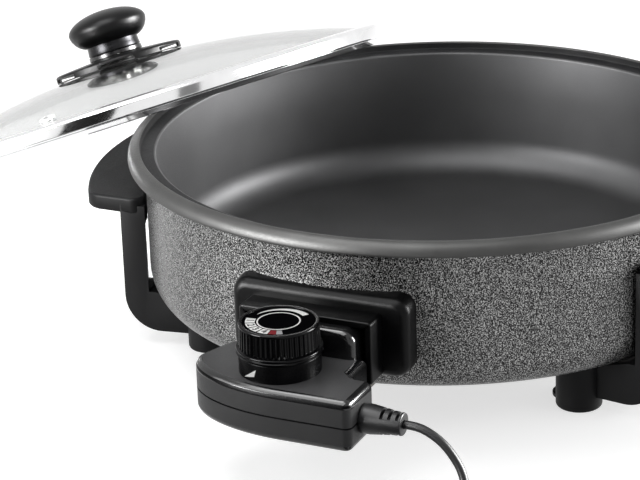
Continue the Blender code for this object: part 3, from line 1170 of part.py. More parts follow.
def coil_points():
    """Two layers: spiral in, climb in the half turn where the spiral reverses, spiral out."""
    points = []
    layer_rise = 2 * CORD_RADIUS + COIL_TURN_GAP
    total = 2 * COIL_TURNS_IN_LAYER + COIL_REVERSAL_TURNS
    count = round(total * COIL_POINTS_PER_TURN)
    inner = COIL_OUTER_RADIUS - COIL_PITCH * COIL_TURNS_IN_LAYER
    for index in range(count + 1):
        turn = total * index / count
        if turn <= COIL_TURNS_IN_LAYER:
            radius, height = COIL_OUTER_RADIUS - COIL_PITCH * turn, 0.0
        elif turn < COIL_TURNS_IN_LAYER + COIL_REVERSAL_TURNS:
            past = turn - COIL_TURNS_IN_LAYER
            share = past / COIL_REVERSAL_TURNS
            radius = inner - COIL_PITCH * past * (1 - share)
            height = layer_rise * (3 - 2 * share) * share ** 2
        else:
            out = turn - COIL_TURNS_IN_LAYER - COIL_REVERSAL_TURNS
            radius, height = inner + COIL_PITCH * out, layer_rise
        angle = -2 * math.pi * turn
        points.append(Vector((COIL_CENTRE.x + radius * math.cos(angle),
                              COIL_CENTRE.y + radius * math.sin(angle), COIL_LEVEL + height)))
    straight = 2 * CORD_RADIUS
    points.insert(0, points[0] + Vector((0, straight, 0)))
    points.append(points[-1] + Vector((-straight, 0, 0)))
    return points


coil = coil_points()
coil_length = sum((b - a).length for a, b in zip(coil, coil[1:]))
least = min((coil[i] - coil[j]).length for i in range(len(coil))
            for j in range(i + COIL_POINTS_PER_TURN // 2, len(coil))) - 2 * CORD_RADIUS
print(f"coil: {coil_length:.3f} m, least gap to itself {least * 1000:.2f} mm")
cord_coil = tube("cord_coil", cord_seat, coil, CORD_RADIUS, 1)
finish(cord_coil, (0.03, 0.03, 0.031), 0.45)

# Cord tie: a flat band round the coil's turns
tie_direction = Vector((math.cos(TIE_AZIMUTH), math.sin(TIE_AZIMUTH), 0))
tie_inner = COIL_OUTER_RADIUS - COIL_PITCH * (COIL_TURNS_IN_LAYER + 1)
tie_half = (COIL_OUTER_RADIUS - tie_inner) / 2 + CORD_RADIUS + COIL_PITCH / 2 + GAP
tie_middle = (COIL_OUTER_RADIUS + tie_inner) / 2
tie_top = COIL_LEVEL + COIL_PITCH + CORD_RADIUS + GAP
tie_low = TIE_LIFT - GAP
tie_turn = Matrix.Rotation(TIE_AZIMUTH, 3, "Z") @ Matrix.Rotation(math.pi / 2, 3, "X")
tie_place = (COIL_CENTRE.x + tie_middle * tie_direction.x, COIL_CENTRE.y + tie_middle * tie_direction.y, 0)
tie = plate("cord_tie", cord_seat,
            rounded_box((-tie_half - TIE_SHEET, tie_low - TIE_SHEET), (tie_half + TIE_SHEET, tie_top + TIE_SHEET),
                        CORD_RADIUS + TIE_SHEET), -TIE_WIDTH / 2, TIE_WIDTH / 2, tie_turn, tie_place)
tie_room = plate("tie_room", cord_seat, rounded_box((-tie_half, tie_low), (tie_half, tie_top), CORD_RADIUS),
                 -TIE_WIDTH, TIE_WIDTH, tie_turn, tie_place)
cut(tie, tie_room)
finish(tie, (0.02, 0.02, 0.02), 0.6)

# Lead: the cord's last stretch, swinging away from the coil to the plug
LEAD_STEPS = ((-0.0054, -0.0003), (-0.0104, -0.0013), (-0.0154, -0.0030))
lead_start = coil[-1] + Vector((-GAP, 0, 0))
lead_route = [lead_start] + [lead_start + Vector((*step, 0)) for step in LEAD_STEPS]
lead_points, lead_length = smooth_route(lead_route, 2 * CORD_RADIUS)
cord_lead = tube("cord_lead", cord_seat, lead_points, CORD_RADIUS)
finish(cord_lead, (0.03, 0.03, 0.031), 0.45)
print(f"cord: {free_length + coil_length + lead_length:.3f} m in all")

# Plug: a flat two-blade plug lying on the table at the lead's end
plug_heading = (lead_points[-1] - lead_points[-2]).normalized()
plug_side = Vector((-plug_heading.y, plug_heading.x, 0))
plug_start = lead_points[-1] + plug_heading * GAP
plug_turn = Matrix.Rotation(math.atan2(plug_heading.y, plug_heading.x), 3, "Z")
nose = arc((PLUG_NOSE_LENGTH, 2 * CORD_RADIUS), (PLUG_NOSE_LENGTH, PLUG_WIDTH / 2 - 2 * CORD_RADIUS),
           math.pi, math.pi / 2, 6)
plug_half = nose + [(PLUG_LENGTH, PLUG_WIDTH / 2)]
plug_outline = plug_half + [(x, -y) for x, y in reversed(plug_half)]
plug_body = plate("plug_body", cord_seat, plug_outline, -plug_start.z, plug_start.z, plug_turn, plug_start)
bevel(plug_body, PLUG_EDGE)
finish(plug_body, (0.03, 0.03, 0.031), 0.45)
for side, word in ((-1, "front"), (1, "rear")):
    base = plug_start + plug_heading * (PLUG_LENGTH + GAP) + plug_side * side * BLADE_SPACING / 2
    blade = plate(f"plug_blade_{word}", cord_seat,
                  [(0, -PLUG_BLADE_THICKNESS / 2), (PLUG_BLADE_LENGTH, -PLUG_BLADE_THICKNESS / 2),
                   (PLUG_BLADE_LENGTH, PLUG_BLADE_THICKNESS / 2), (0, PLUG_BLADE_THICKNESS / 2)],
                  -PLUG_BLADE_WIDTH / 2, PLUG_BLADE_WIDTH / 2, plug_turn, base)
    finish(blade, (0.75, 0.6, 0.3), 0.3, 1.0)
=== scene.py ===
import math
import bpy
from mathutils import Matrix, Vector


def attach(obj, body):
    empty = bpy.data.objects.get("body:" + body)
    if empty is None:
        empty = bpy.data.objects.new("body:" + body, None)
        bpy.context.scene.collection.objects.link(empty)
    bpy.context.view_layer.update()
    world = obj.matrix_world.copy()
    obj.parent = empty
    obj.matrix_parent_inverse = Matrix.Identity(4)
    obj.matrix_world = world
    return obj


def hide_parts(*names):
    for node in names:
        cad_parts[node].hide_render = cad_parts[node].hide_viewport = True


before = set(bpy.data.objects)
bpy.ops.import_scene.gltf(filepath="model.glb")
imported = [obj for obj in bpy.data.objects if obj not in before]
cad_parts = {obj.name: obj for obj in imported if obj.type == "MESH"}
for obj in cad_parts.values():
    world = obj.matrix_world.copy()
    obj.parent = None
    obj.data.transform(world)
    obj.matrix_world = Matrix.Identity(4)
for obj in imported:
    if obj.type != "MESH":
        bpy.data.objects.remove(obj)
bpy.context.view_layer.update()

# Camera: a long lens in front of the socket side, a little to its right, looking down into
# the pan. The left of the lid and the right handle run out of the picture.
camera = bpy.data.objects.new("camera", bpy.data.cameras.new("camera"))
bpy.context.scene.collection.objects.link(camera)
camera.data.sensor_width = 36.0
camera.data.lens = 143.63
camera.data.clip_end = 20.0
camera.matrix_world = (Matrix.Translation((0.50324, -1.20696, 0.52086))
                       @ Matrix.Rotation(math.radians(25.61), 4, "Z")
                       @ Matrix.Rotation(math.radians(90.0 - 21.21), 4, "X")
                       @ Matrix.Rotation(math.radians(-1.98), 4, "Z"))
bpy.context.scene.camera = camera
bpy.context.scene.view_settings.view_transform = "Standard"


# Cord: a round two-core flex in black rubber. It comes straight out of the control's boot,
# drops to the table in one curve and is wound there in two layers of turns held by a tie.
def surface(name, pale, dark, rough, grain, relief, metallic=0.0, uneven=0.06, cloud=60.0, shine=0.5):
    """A finish whose shade drifts in soft clouds, with a fine grain in its relief and gloss."""
    material = bpy.data.materials.new(name)
    material.use_nodes = True
    nodes, link = material.node_tree.nodes, material.node_tree.links.new
    shader = nodes["Principled BSDF"]
    shader.inputs["Metallic"].default_value = metallic
    shader.inputs["Specular IOR Level"].default_value = shine
    place = nodes.new("ShaderNodeTexCoord")
    clouds = nodes.new("ShaderNodeTexNoise")
    clouds.inputs["Scale"].default_value = cloud
    clouds.inputs["Detail"].default_value = 4.0
    shade = nodes.new("ShaderNodeValToRGB")
    shade.color_ramp.elements[0].position = 0.35
    shade.color_ramp.elements[0].color = (*dark, 1.0)
    shade.color_ramp.elements[1].position = 0.65
    shade.color_ramp.elements[1].color = (*pale, 1.0)
    specks = nodes.new("ShaderNodeTexNoise")
    specks.inputs["Scale"].default_value = grain
    specks.inputs["Detail"].default_value = 2.0
    gloss = nodes.new("ShaderNodeMapRange")
    gloss.inputs["From Min"].default_value = 0.3
    gloss.inputs["From Max"].default_value = 0.7
    gloss.inputs["To Min"].default_value = rough - uneven
    gloss.inputs["To Max"].default_value = rough + uneven
    bump = nodes.new("ShaderNodeBump")
    bump.inputs["Strength"].default_value = 0.5
    bump.inputs["Distance"].default_value = relief
    link(place.outputs["Object"], clouds.inputs["Vector"])
    link(place.outputs["Object"], specks.inputs["Vector"])
    link(clouds.outputs["Fac"], shade.inputs["Fac"])
    link(shade.outputs["Color"], shader.inputs["Base Color"])
    link(specks.outputs["Fac"], gloss.inputs["Value"])
    link(gloss.outputs["Result"], shader.inputs["Roughness"])
    link(specks.outputs["Fac"], bump.inputs["Height"])
    link(bump.outputs["Normal"], shader.inputs["Normal"])
    return material


def even_points(points, spacing):
    """Points at an even spacing on a smooth curve through the route's own points."""
    points = [Vector(point) for point in points]
    ends = [2 * points[0] - points[1], *points, 2 * points[-1] - points[-2]]
    fine = []
    for before, start, end, after in zip(ends, ends[1:], ends[2:], ends[3:]):
        for step in range(12):
            t = step / 12
            fine.append(((2 * start) + (end - before) * t
                         + (2 * before - 5 * start + 4 * end - after) * t ** 2
                         + (3 * start - before - 3 * end + after) * t ** 3) / 2)
    fine.append(points[-1])
    total = sum((b - a).length for a, b in zip(fine, fine[1:]))
    count = max(2, round(total / spacing))
    picked, walked, target = [fine[0]], 0.0, total / count
    for a, b in zip(fine, fine[1:]):
        step = (b - a).length
        while walked + step >= target and len(picked) < count:
            picked.append(a.lerp(b, (target - walked) / step))
            target += total / count
        walked += step
    picked.append(fine[-1])
    return picked


def tube(name, points, radius):
    """A round line from point to point, both ends closed."""
    curve = bpy.data.curves.new(name, "CURVE")
    curve.dimensions = "3D"
    curve.bevel_depth = radius
    curve.bevel_resolution = 4
    curve.use_fill_caps = True
    line = curve.splines.new("POLY")
    line.points.add(len(points) - 1)
    for point, place in zip(line.points, points):
        point.co = (*place, 1.0)
    line.use_smooth = True
    piece = bpy.data.objects.new(name, curve)
    bpy.context.scene.collection.objects.link(piece)
    return piece


cord_radius, coil_level, lead_level = 0.0021, -0.0327, -0.0279
cord_exit = (0.0688, -0.2160, 0.0072)
cord_route = (
    cord_exit,
    (0.0740, -0.2160, 0.0071),
    (0.0790, -0.2160, 0.0060),
    (0.0850, -0.2161, 0.0030),
    (0.0900, -0.2163, -0.0010),
    (0.0950, -0.2168, -0.0069),
    (0.0982, -0.2178, -0.0120),
    (0.1003, -0.2196, -0.0175),
    (0.1017, -0.2228, -0.0232),
    (0.1026, -0.2272, -0.0280),
    (0.1031, -0.2330, -0.0313),
    (0.1032, -0.2390, coil_level),
    (0.1032, -0.2435, coil_level),
)
cord_points = even_points(cord_route, 0.003)
coil_centre, coil_radius, coil_pitch, layer_turns = Vector((0.0745, -0.2480)), 0.0287, 0.0048, 2.375
coil_turns = 2 * layer_turns + 0.5
coil_steps = round(coil_turns * 32)
cord_points.append(Vector((0.1032, -0.2438, coil_level)))
for step in range(coil_steps + 1):
    turn = coil_turns * step / coil_steps
    radius, level = coil_radius - coil_pitch * turn, coil_level
    if turn > layer_turns + 0.5:
        radius = coil_radius - coil_pitch * (coil_turns - turn)
        level += coil_pitch
    elif turn > layer_turns:
        climb = (turn - layer_turns) / 0.5
        radius = coil_radius - coil_pitch * (layer_turns + (turn - layer_turns) * (1 - climb))
        level += coil_pitch * (3 - 2 * climb) * climb ** 2
    angle = -2 * math.pi * turn
    cord_points.append(Vector((coil_centre.x + radius * math.cos(angle),
                               coil_centre.y + radius * math.sin(angle), level)))
lead_points = even_points([(0.0700, -0.2767, lead_level), (0.0646, -0.2770, lead_level),
                           (0.0596, -0.2780, lead_level), (0.0546, -0.2797, lead_level)], 0.0042)
cord_points.append(Vector((0.0703, -0.2767, lead_level)))
cord_points += lead_points[1:]
cord = tube("cord", cord_points, cord_radius)
cord_rubber = surface("cord_rubber", (0.013, 0.013, 0.014), (0.008, 0.008, 0.009), 0.40, 2500.0, 0.00006,
                      shine=0.3)
cord.data.materials.append(cord_rubber)
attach(cord, "control")
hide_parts("cord_free", "cord_coil", "cord_lead")


# Plug: a flat moulded two-blade plug lying on the table at the cord's end. Its sides have
# finger grooves, and its two blades are plated steel.
def trace(name, points):
    """A line drawn from point to point by extruding one vertex, left in edit mode."""
    bpy.ops.object.select_all(action="DESELECT")
    bpy.ops.mesh.primitive_plane_add(size=0.001, location=points[0])
    piece = bpy.context.object
    piece.name = piece.data.name = name
    bpy.ops.object.transform_apply()
    bpy.context.tool_settings.mesh_select_mode = (True, False, False)
    bpy.ops.object.mode_set(mode="EDIT")
    bpy.ops.mesh.select_all(action="SELECT")
    bpy.ops.mesh.merge(type="CENTER")
    for start, end in zip(points, points[1:]):
        step = Vector(end) - Vector(start)
        bpy.ops.mesh.extrude_region_move(TRANSFORM_OT_translate={"value": step})
    return piece


def plate(name, outline, low, high):
    """A flat outline in X and Y, closed and extruded from low to high."""
    piece = trace(name, [(x, y, low) for x, y in outline])
    bpy.ops.mesh.select_all(action="SELECT")
    bpy.ops.mesh.edge_face_add()
    bpy.ops.mesh.extrude_region_move(TRANSFORM_OT_translate={"value": (0, 0, high - low)})
    bpy.ops.mesh.select_all(action="SELECT")
    bpy.ops.mesh.normals_make_consistent(inside=False)
    bpy.ops.object.mode_set(mode="OBJECT")
    return piece


def select_edges(piece, test):
    """Leaves edit mode on with the edges selected whose two ends pass the test."""
    mesh = piece.data
    for part in (mesh.vertices, mesh.edges, mesh.polygons):
        part.foreach_set("select", [False] * len(part))
    for edge in mesh.edges:
        ends = [mesh.vertices[i].co for i in edge.vertices]
        edge.select = all(test(end) for end in ends)
    bpy.context.tool_settings.mesh_select_mode = (False, True, False)
    bpy.ops.object.mode_set(mode="EDIT")


def round_edges(piece, width, segments, test):
    """Rounds the edges whose two ends pass the test."""
    select_edges(piece, test)
    bpy.ops.mesh.bevel(offset=width, segments=segments, profile=0.5, affect="EDGES", clamp_overlap=True)
    bpy.ops.object.mode_set(mode="OBJECT")


def select_faces(piece, test):
    """Leaves edit mode on with the faces selected that pass the test."""
    mesh = piece.data
    for part in (mesh.vertices, mesh.edges, mesh.polygons):
        part.foreach_set("select", [False] * len(part))
    for face in mesh.polygons:
        face.select = test(face)
    bpy.context.tool_settings.mesh_select_mode = (False, False, True)
    bpy.ops.object.mode_set(mode="EDIT")


def pick(piece):
    """Leaves this one piece selected and active."""
    bpy.ops.object.select_all(action="DESELECT")
    piece.select_set(True)
    bpy.context.view_layer.objects.active = piece


def use(piece, kind, settings):
    """Adds one modifier and applies it."""
    step = piece.modifiers.new(kind.lower(), kind)
    for key, value in settings.items():
        setattr(step, key, value)
    pick(piece)
    bpy.ops.object.modifier_apply(modifier=step.name)


def cut(piece, room):
    """Cuts the room's shape out of a piece and takes the room away."""
    use(piece, "BOOLEAN", {"operation": "DIFFERENCE", "solver": "EXACT", "object": room})
    bpy.data.objects.remove(room)


def soften(piece, width, segments):
    """Rounds the edges that are sharper than 50 degrees."""
    use(piece, "BEVEL", {"width": width, "segments": segments, "limit_method": "ANGLE",
                         "angle_limit": math.radians(50)})


def smooth(piece, angle=35.0):
    """Smooth shading, with edges sharper than the angle left crisp."""
    pick(piece)
    bpy.ops.object.shade_smooth_by_angle(angle=math.radians(angle))


def settle(piece, matrix):
    """Turns and moves a piece and leaves the place in its mesh."""
    pick(piece)
    piece.matrix_world = matrix
    bpy.ops.object.transform_apply()


def arc(centre, radii, start, end, count):
    """Points along an ellipse's arc, both ends included; angles in degrees."""
    turns = [math.radians(start + (end - start) * i / (count - 1)) for i in range(count)]
    return [(centre[0] + radii[0] * math.cos(a), centre[1] + radii[1] * math.sin(a)) for a in turns]


def fit(piece, material, body, slot, *nodes):
    """Gives a finished piece its material and body, and hides the nodes that it stands for; the slot is not
    used.
    """
    piece.data.materials.clear()
    piece.data.materials.append(material)
    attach(piece, body)
    if nodes:
        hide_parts(*nodes)


def refinish(material, *names):
    """Gives CAD nodes that keep their own shape a finer material."""
    for name in names:
        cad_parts[name].data.materials.clear()
        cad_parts[name].data.materials.append(material)


plug_heading = (lead_points[-1] - lead_points[-2]).normalized()
plug_start = lead_points[-1] + plug_heading * 0.0003
plug_half = arc((0.012, 0.0042), (0.012, 0.0078), 180, 90, 10) + [(0.030, 0.012)]
plug = plate("plug", plug_half + [(x, -y) for x, y in reversed(plug_half)], -0.0081, 0.0081)
soften(plug, 0.0022, 4)
for side in (-1, 1):
    for index in range(3):
        bpy.ops.mesh.primitive_cylinder_add(vertices=20, radius=0.0011, depth=0.03,
                                            location=(0.0145 + 0.0042 * index, side * 0.0125, 0))
        cut(plug, bpy.context.object)
smooth(plug)
settle(plug, Matrix.Translation(plug_start)
       @ Matrix.Rotation(math.atan2(plug_heading.y, plug_heading.x), 4, "Z"))
fit(plug, cord_rubber, "control", "black_rubber", "plug_body")

# Cord tie: a soft black strap round the coil's turns, its ends pressed together. It is the CAD
# node's own mesh, merged and smoothed.
tie = bpy.data.objects.new("cord_tie_strap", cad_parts["cord_tie"].data.copy())
bpy.context.scene.collection.objects.link(tie)
pick(tie)
bpy.ops.object.mode_set(mode="EDIT")
bpy.ops.mesh.select_all(action="SELECT")
bpy.ops.mesh.remove_doubles(threshold=0.00001)
bpy.ops.object.mode_set(mode="OBJECT")
smooth(tie)
tie_fabric = surface("tie_strap", (0.030, 0.030, 0.030), (0.016, 0.016, 0.016), 0.7, 1800.0, 0.0001)
fit(tie, tie_fabric, "control", "black_rubber", "cord_tie")


# Floor and light: a pale table under an even white surround, three soft lamps over it, and
# three more that only show as highlights in polished and satin surfaces.
def seen_by_lens(tree):
    """1 for rays from the lens, off a polished surface or through glass, 0 for all others."""
    rays = tree.nodes.new("ShaderNodeLightPath")
    seen = tree.nodes.new("ShaderNodeMath")
    seen.operation = "MAXIMUM"
    seen_through = tree.nodes.new("ShaderNodeMath")
    seen_through.operation = "MAXIMUM"
    tree.links.new(rays.outputs["Is Camera Ray"], seen.inputs[0])
    tree.links.new(rays.outputs["Is Glossy Ray"], seen.inputs[1])
    tree.links.new(seen.outputs[0], seen_through.inputs[0])
    tree.links.new(rays.outputs["Is Transmission Ray"], seen_through.inputs[1])
    return seen_through.outputs[0]


floor_level, floor_glow, world_glow = -0.0361, 0.66, 0.45
bpy.ops.object.select_all(action="DESELECT")
bpy.ops.mesh.primitive_plane_add(size=12.0, location=(0, 0, floor_level))
floor = bpy.context.object
floor.name = "floor"
bpy.ops.object.transform_apply()
table_top = bpy.data.materials.new("table_top")
table_top.use_nodes = True
nodes, link = table_top.node_tree.nodes, table_top.node_tree.links.new
shader = nodes["Principled BSDF"]
shader.inputs["Base Color"].default_value = (0.62, 0.62, 0.62, 1.0)
shader.inputs["Roughness"].default_value = 0.9
shader.inputs["Specular IOR Level"].default_value = 0.1
lift = nodes.new("ShaderNodeMath")
lift.operation = "MULTIPLY"
lift.inputs[1].default_value = floor_glow
link(seen_by_lens(table_top.node_tree), lift.inputs[0])
shader.inputs["Emission Color"].default_value = (1, 1, 1, 1)
link(lift.outputs[0], shader.inputs["Emission Strength"])
floor.data.materials.append(table_top)
world = bpy.data.worlds.new("surround")
bpy.context.scene.world = world
world.use_nodes = True
nodes, link = world.node_tree.nodes, world.node_tree.links.new
strength = nodes.new("ShaderNodeMapRange")
strength.inputs["To Min"].default_value = world_glow
strength.inputs["To Max"].default_value = 1.0
link(seen_by_lens(world.node_tree), strength.inputs["Value"])
nodes["Background"].inputs["Color"].default_value = (1, 1, 1, 1)
link(strength.outputs["Result"], nodes["Background"].inputs["Strength"])


def lamp(name, place, aim, size, power, sheen_only=False):
    """A square soft lamp aimed at a point; a sheen lamp only shows in polished and satin surfaces."""
    data = bpy.data.lights.new(name, "AREA")
    data.shape = "SQUARE"
    data.size = size
    data.energy = power
    piece = bpy.data.objects.new(name, data)
    piece.location = place
    piece.rotation_euler = (Vector(aim) - Vector(place)).to_track_quat("-Z", "Y").to_euler()
    piece.visible_diffuse = not sheen_only
    bpy.context.scene.collection.objects.link(piece)


lamp("lamp_top", (-0.50, -0.20, 1.25), (0, -0.1, 0), 0.6, 5.0)
lamp("lamp_left", (-1.30, -0.80, 0.75), (0, 0, 0), 0.6, 5.0)
lamp("lamp_right", (1.60, 0.10, 0.80), (0, 0, 0), 0.6, 6.0)
lamp("sheen_top", (-0.27, -0.68, 1.18), (0, -0.2, 0), 1.2, 24.0, True)
lamp("sheen_left", (-0.90, -1.25, 0.36), (0, 0, 0.06), 0.7, 80.0, True)
lamp("sheen_right", (1.25, 0.80, 0.36), (0, 0, 0.06), 0.8, 170.0, True)

# Dark and grey cards: three boards round the camera and one flat on the table, which only
# polished and satin surfaces show, as the dark sides of a studio do.
card_black, card_grey = 0.01, 0.35
for name, shade, place, width, height in (
        ("card_front", card_black, (0.07, -1.50, 0.41), 0.62, 0.80),
        ("card_side", card_grey, (0.90, -0.72, 0.56), 0.24, 0.42),
        ("card_low", card_black, (-0.10, -0.60, -0.0355), 0.42, 0.62),
        ("card_high", card_black, (-0.10, -1.55, 1.30), 1.30, 0.90)):
    card_shade = bpy.data.materials.new(f"{name}_shade")
    card_shade.use_nodes = True
    shader = card_shade.node_tree.nodes["Principled BSDF"]
    shader.inputs["Base Color"].default_value = (shade, shade, shade, 1.0)
    shader.inputs["Specular IOR Level"].default_value = 0.0
    bpy.ops.mesh.primitive_plane_add(size=1.0, location=place)
    card = bpy.context.object
    card.name = name
    card.scale = (width, height, 1.0)
    if name != "card_low":
        aim = Vector((-0.1, 0.0, place[2] * 0.6)) - Vector(place)
        card.rotation_euler = aim.to_track_quat("Z", "Y").to_euler()
    bpy.ops.object.transform_apply()
    card.data.materials.append(card_shade)
    card.visible_camera = card.visible_diffuse = card.visible_transmission = card.visible_shadow = False

# Pan: one aluminium casting, turned inside and at the rim. Its inside has a dark nonstick
# coat, its rim a plain satin one, its outside a hammered two-tone enamel and its underside
# bare dark metal. Its ledge and the step above it are painted a blacker grey: painted shade.
pan_crest, pan_wall, foot_x, foot_y, socket_height = 0.1632, 0.1611, 0.1062, 0.0780, 0.0218


def lathe(name, outline, steps, angle=35.0):
    """A profile of radius and height swept round Z."""
    piece = trace(name, [(radius, 0, height) for radius, height in outline])
    bpy.ops.mesh.select_all(action="SELECT")
    bpy.ops.mesh.spin(steps=steps, angle=2 * math.pi, center=(0, 0, 0), axis=(0, 0, 1))
    bpy.ops.mesh.select_all(action="SELECT")
    bpy.ops.mesh.remove_doubles(threshold=0.000002)
    bpy.ops.mesh.normals_make_consistent(inside=False)
    bpy.ops.object.mode_set(mode="OBJECT")
    smooth(piece, angle)
    return piece


def join(piece, *others):
    """Joins the others into a piece."""
    pick(piece)
    for other in others:
        other.select_set(True)
    bpy.ops.object.join()


pan_outline = [(0, 0), (0.07, 0), (0.12, 0)]
pan_outline += arc((0.1355, 0.018), (0.018, 0.018), -90, 0, 12)
pan_outline += [(0.1541, 0.045), (0.1547, 0.0698)]
pan_outline += arc((0.1559, 0.0699), (0.0012, 0.0012), 180, 90, 5)[1:]
pan_outline += [(0.1590, 0.0711)]
pan_outline += arc((0.1622, 0.0721), (0.0010, 0.0010), -90, 0, 5)
pan_outline += arc((0.1642, 0.0742), (0.0010, 0.0010), 180, 90, 6)
pan_outline += arc((0.1642, 0.0688), (0.0058, 0.0064), 90, 0, 16)[1:]
pan_outline += [(0.1699, 0.0684), (0.1694, 0.0681), (0.1640, 0.0671), (0.1620, 0.0662),
                (0.1613, 0.0650), (0.1611, 0.0632), (0.1611, 0.0360)]
pan_outline += arc((0.150, 0.009), (0.0111, 0.016), 0, -90, 14)
pan_outline += [(0.135, -0.007), (0.07, -0.007), (0, -0.007)]
pan = lathe("pan_casting", pan_outline, 192)
for x in (-foot_x, foot_x):
    for y in (-foot_y, foot_y):
        bpy.ops.mesh.primitive_cylinder_add(vertices=24, radius=0.0075, depth=0.0036,
                                            location=(x, y, -0.0087))
        boss = bpy.context.object
        use(boss, "BEVEL", {"width": 0.0006, "segments": 2})
        smooth(boss)
        join(pan, boss)
bpy.ops.mesh.primitive_cylinder_add(vertices=32, radius=0.0065, depth=0.0074,
                                    location=(0, -0.1638, socket_height), rotation=(math.pi / 2, 0, 0))
boss = bpy.context.object
bpy.ops.object.transform_apply()
select_faces(boss, lambda face: face.normal.y < -0.9)
bpy.ops.mesh.inset(thickness=0.0029)
bpy.ops.mesh.extrude_region_move(TRANSFORM_OT_translate={"value": (0, 0.0048, 0)})
bpy.ops.object.mode_set(mode="OBJECT")
smooth(boss)
join(pan, boss)

nonstick = surface("nonstick_coat", (0.054, 0.054, 0.055), (0.046, 0.046, 0.047), 0.52, 1500.0, 0.00005,
                   0.85, 0.04, 25.0)
rim_satin = surface("rim_satin", (0.066, 0.066, 0.065), (0.054, 0.054, 0.053), 0.45, 1300.0, 0.00005,
                    0.6, 0.06, 35.0, 0.2)
# The ledge and the step wall above it get a blacker grey than the coat: painted shade.
ledge_painted_shade = surface("ledge_painted_shade_coat", (0.020, 0.020, 0.021), (0.014, 0.014, 0.015), 0.55, 1400.0, 0.00005,
                     shine=0.08)
base_metal = surface("base_metal", (0.060, 0.060, 0.060), (0.040, 0.040, 0.040), 0.5, 900.0, 0.0001,
                     0.3, 0.08, 50.0)
hammered = bpy.data.materials.new("hammered_enamel")
hammered.use_nodes = True
nodes, link = hammered.node_tree.nodes, hammered.node_tree.links.new
shader = nodes["Principled BSDF"]
shader.inputs["Metallic"].default_value = 0.9
place = nodes.new("ShaderNodeTexCoord")
dimples = nodes.new("ShaderNodeTexNoise")
dimples.inputs["Scale"].default_value = 1700.0
dimples.inputs["Detail"].default_value = 1.5
dimples.inputs["Roughness"].default_value = 0.45
shade = nodes.new("ShaderNodeValToRGB")
shade.color_ramp.elements[0].position = 0.40
shade.color_ramp.elements[0].color = (0.008, 0.008, 0.008, 1.0)
shade.color_ramp.elements[1].position = 0.64
shade.color_ramp.elements[1].color = (0.34, 0.34, 0.337, 1.0)
middle = shade.color_ramp.elements.new(0.51)
middle.color = (0.068, 0.068, 0.068, 1.0)
gloss = nodes.new("ShaderNodeMapRange")
gloss.inputs["From Min"].default_value = 0.4
gloss.inputs["From Max"].default_value = 0.62
gloss.inputs["To Min"].default_value = 0.26
gloss.inputs["To Max"].default_value = 0.42
bump = nodes.new("ShaderNodeBump")
bump.inputs["Strength"].default_value = 0.6
bump.inputs["Distance"].default_value = 0.00012
link(place.outputs["Object"], dimples.inputs["Vector"])
link(dimples.outputs["Fac"], shade.inputs["Fac"])
link(shade.outputs["Color"], shader.inputs["Base Color"])
link(dimples.outputs["Fac"], gloss.inputs["Value"])
link(gloss.outputs["Result"], shader.inputs["Roughness"])
link(dimples.outputs["Fac"], bump.inputs["Height"])
link(bump.outputs["Normal"], shader.inputs["Normal"])
fit(pan, nonstick, "pan", "pan_coating", "pan_body")
for material in (rim_satin, hammered, base_metal, ledge_painted_shade):
    pan.data.materials.append(material)
coat_slot, rim_slot, enamel_slot, base_slot, ledge_shade_slot = range(5)
for face in pan.data.polygons:
    spot = face.center
    reach = math.hypot(spot.x, spot.y)
    if reach > pan_crest + 0.0002 and spot.z > 0.0655:
        face.material_index = rim_slot
    elif spot.z < -0.0069 or (reach > pan_wall + 0.0003 and spot.z < 0.06):
        face.material_index = base_slot
    elif reach > 0.1560 and spot.z < 0.0672 or spot.z < -0.0005:
        face.material_index = enamel_slot
    # Ledge and step wall: painted shade.
    elif reach > 0.1557 and spot.z > 0.0680:
        face.material_index = ledge_shade_slot
    else:
        face.material_index = coat_slot

# Handles: two black phenolic mouldings, each a half-moon grip on two L-shaped legs whose
# bars run in under the pan and end in round feet, held by a screw through each foot.
phenolic = surface("black_phenolic", (0.0055, 0.0055, 0.006), (0.0035, 0.0035, 0.004), 0.50, 1700.0,
                   0.00005, shine=0.11)
grip_reach, grip_curve, grip_half, handle_clear = 0.1975, 0.16048, 0.08806, 0.1617
grip_corner, grip_root, leg_reach = 0.013, 0.006, 0.1728
leg_turn, leg_toe = math.radians(27.3), math.radians(9.0)
grip_centre = grip_reach - grip_curve
corner_y = grip_half - grip_corner
corner_x = grip_centre + math.sqrt((grip_curve - grip_corner) ** 2 - corner_y ** 2)
corner_turn = math.degrees(math.atan2(corner_y, corner_x - grip_centre))
inner_y = grip_half - grip_root
inner_x = math.sqrt((handle_clear + grip_root) ** 2 - inner_y ** 2)
inner_turn = math.degrees(math.atan2(inner_y, inner_x))
grip_side = arc((grip_centre, 0), (grip_curve, grip_curve), 0, corner_turn, 22)[:-1]
grip_side += arc((corner_x, corner_y), (grip_corner, grip_corner), corner_turn, 90, 10)
grip_side += arc((inner_x, inner_y), (grip_root, grip_root), 90, 180 + inner_turn, 10)[:-1]
grip_side += arc((0, 0), (handle_clear, handle_clear), inner_turn, 0, 22)
grip_outline = grip_side + [(x, -y) for x, y in reversed(grip_side[1:-1])]
handle = plate("handle_right_moulding", grip_outline, 0.0392, 0.0480)
soften(handle, 0.0016, 4)
leg_profile = [(0, 0.0436)]
leg_profile += arc((0.020, -0.0087), (0.020, 0.020), 180, 270, 14)
leg_profile += [(0.052, -0.0287), (0.052, -0.0124), (0.030, -0.0095), (0.018, -0.0060), (0.014, -0.0060),
                (0.014, 0.0436)]
clear_outline = [(0, 0.08), (0.16125, 0.08), (0.16125, 0.0355)]
clear_outline += arc((0.16125, 0.0295), (0.00175, 0.0060), 90, 0, 8)[1:]
clear_outline += [(0.1630, -0.0050), (0.1585, -0.0050)]
clear_outline += arc((0.150, 0.009), (0.0119, 0.0168), -40, -90, 10) + [(0, -0.0078)]
clear_room = lathe("clear_room", clear_outline, 192)
leg_parts = []
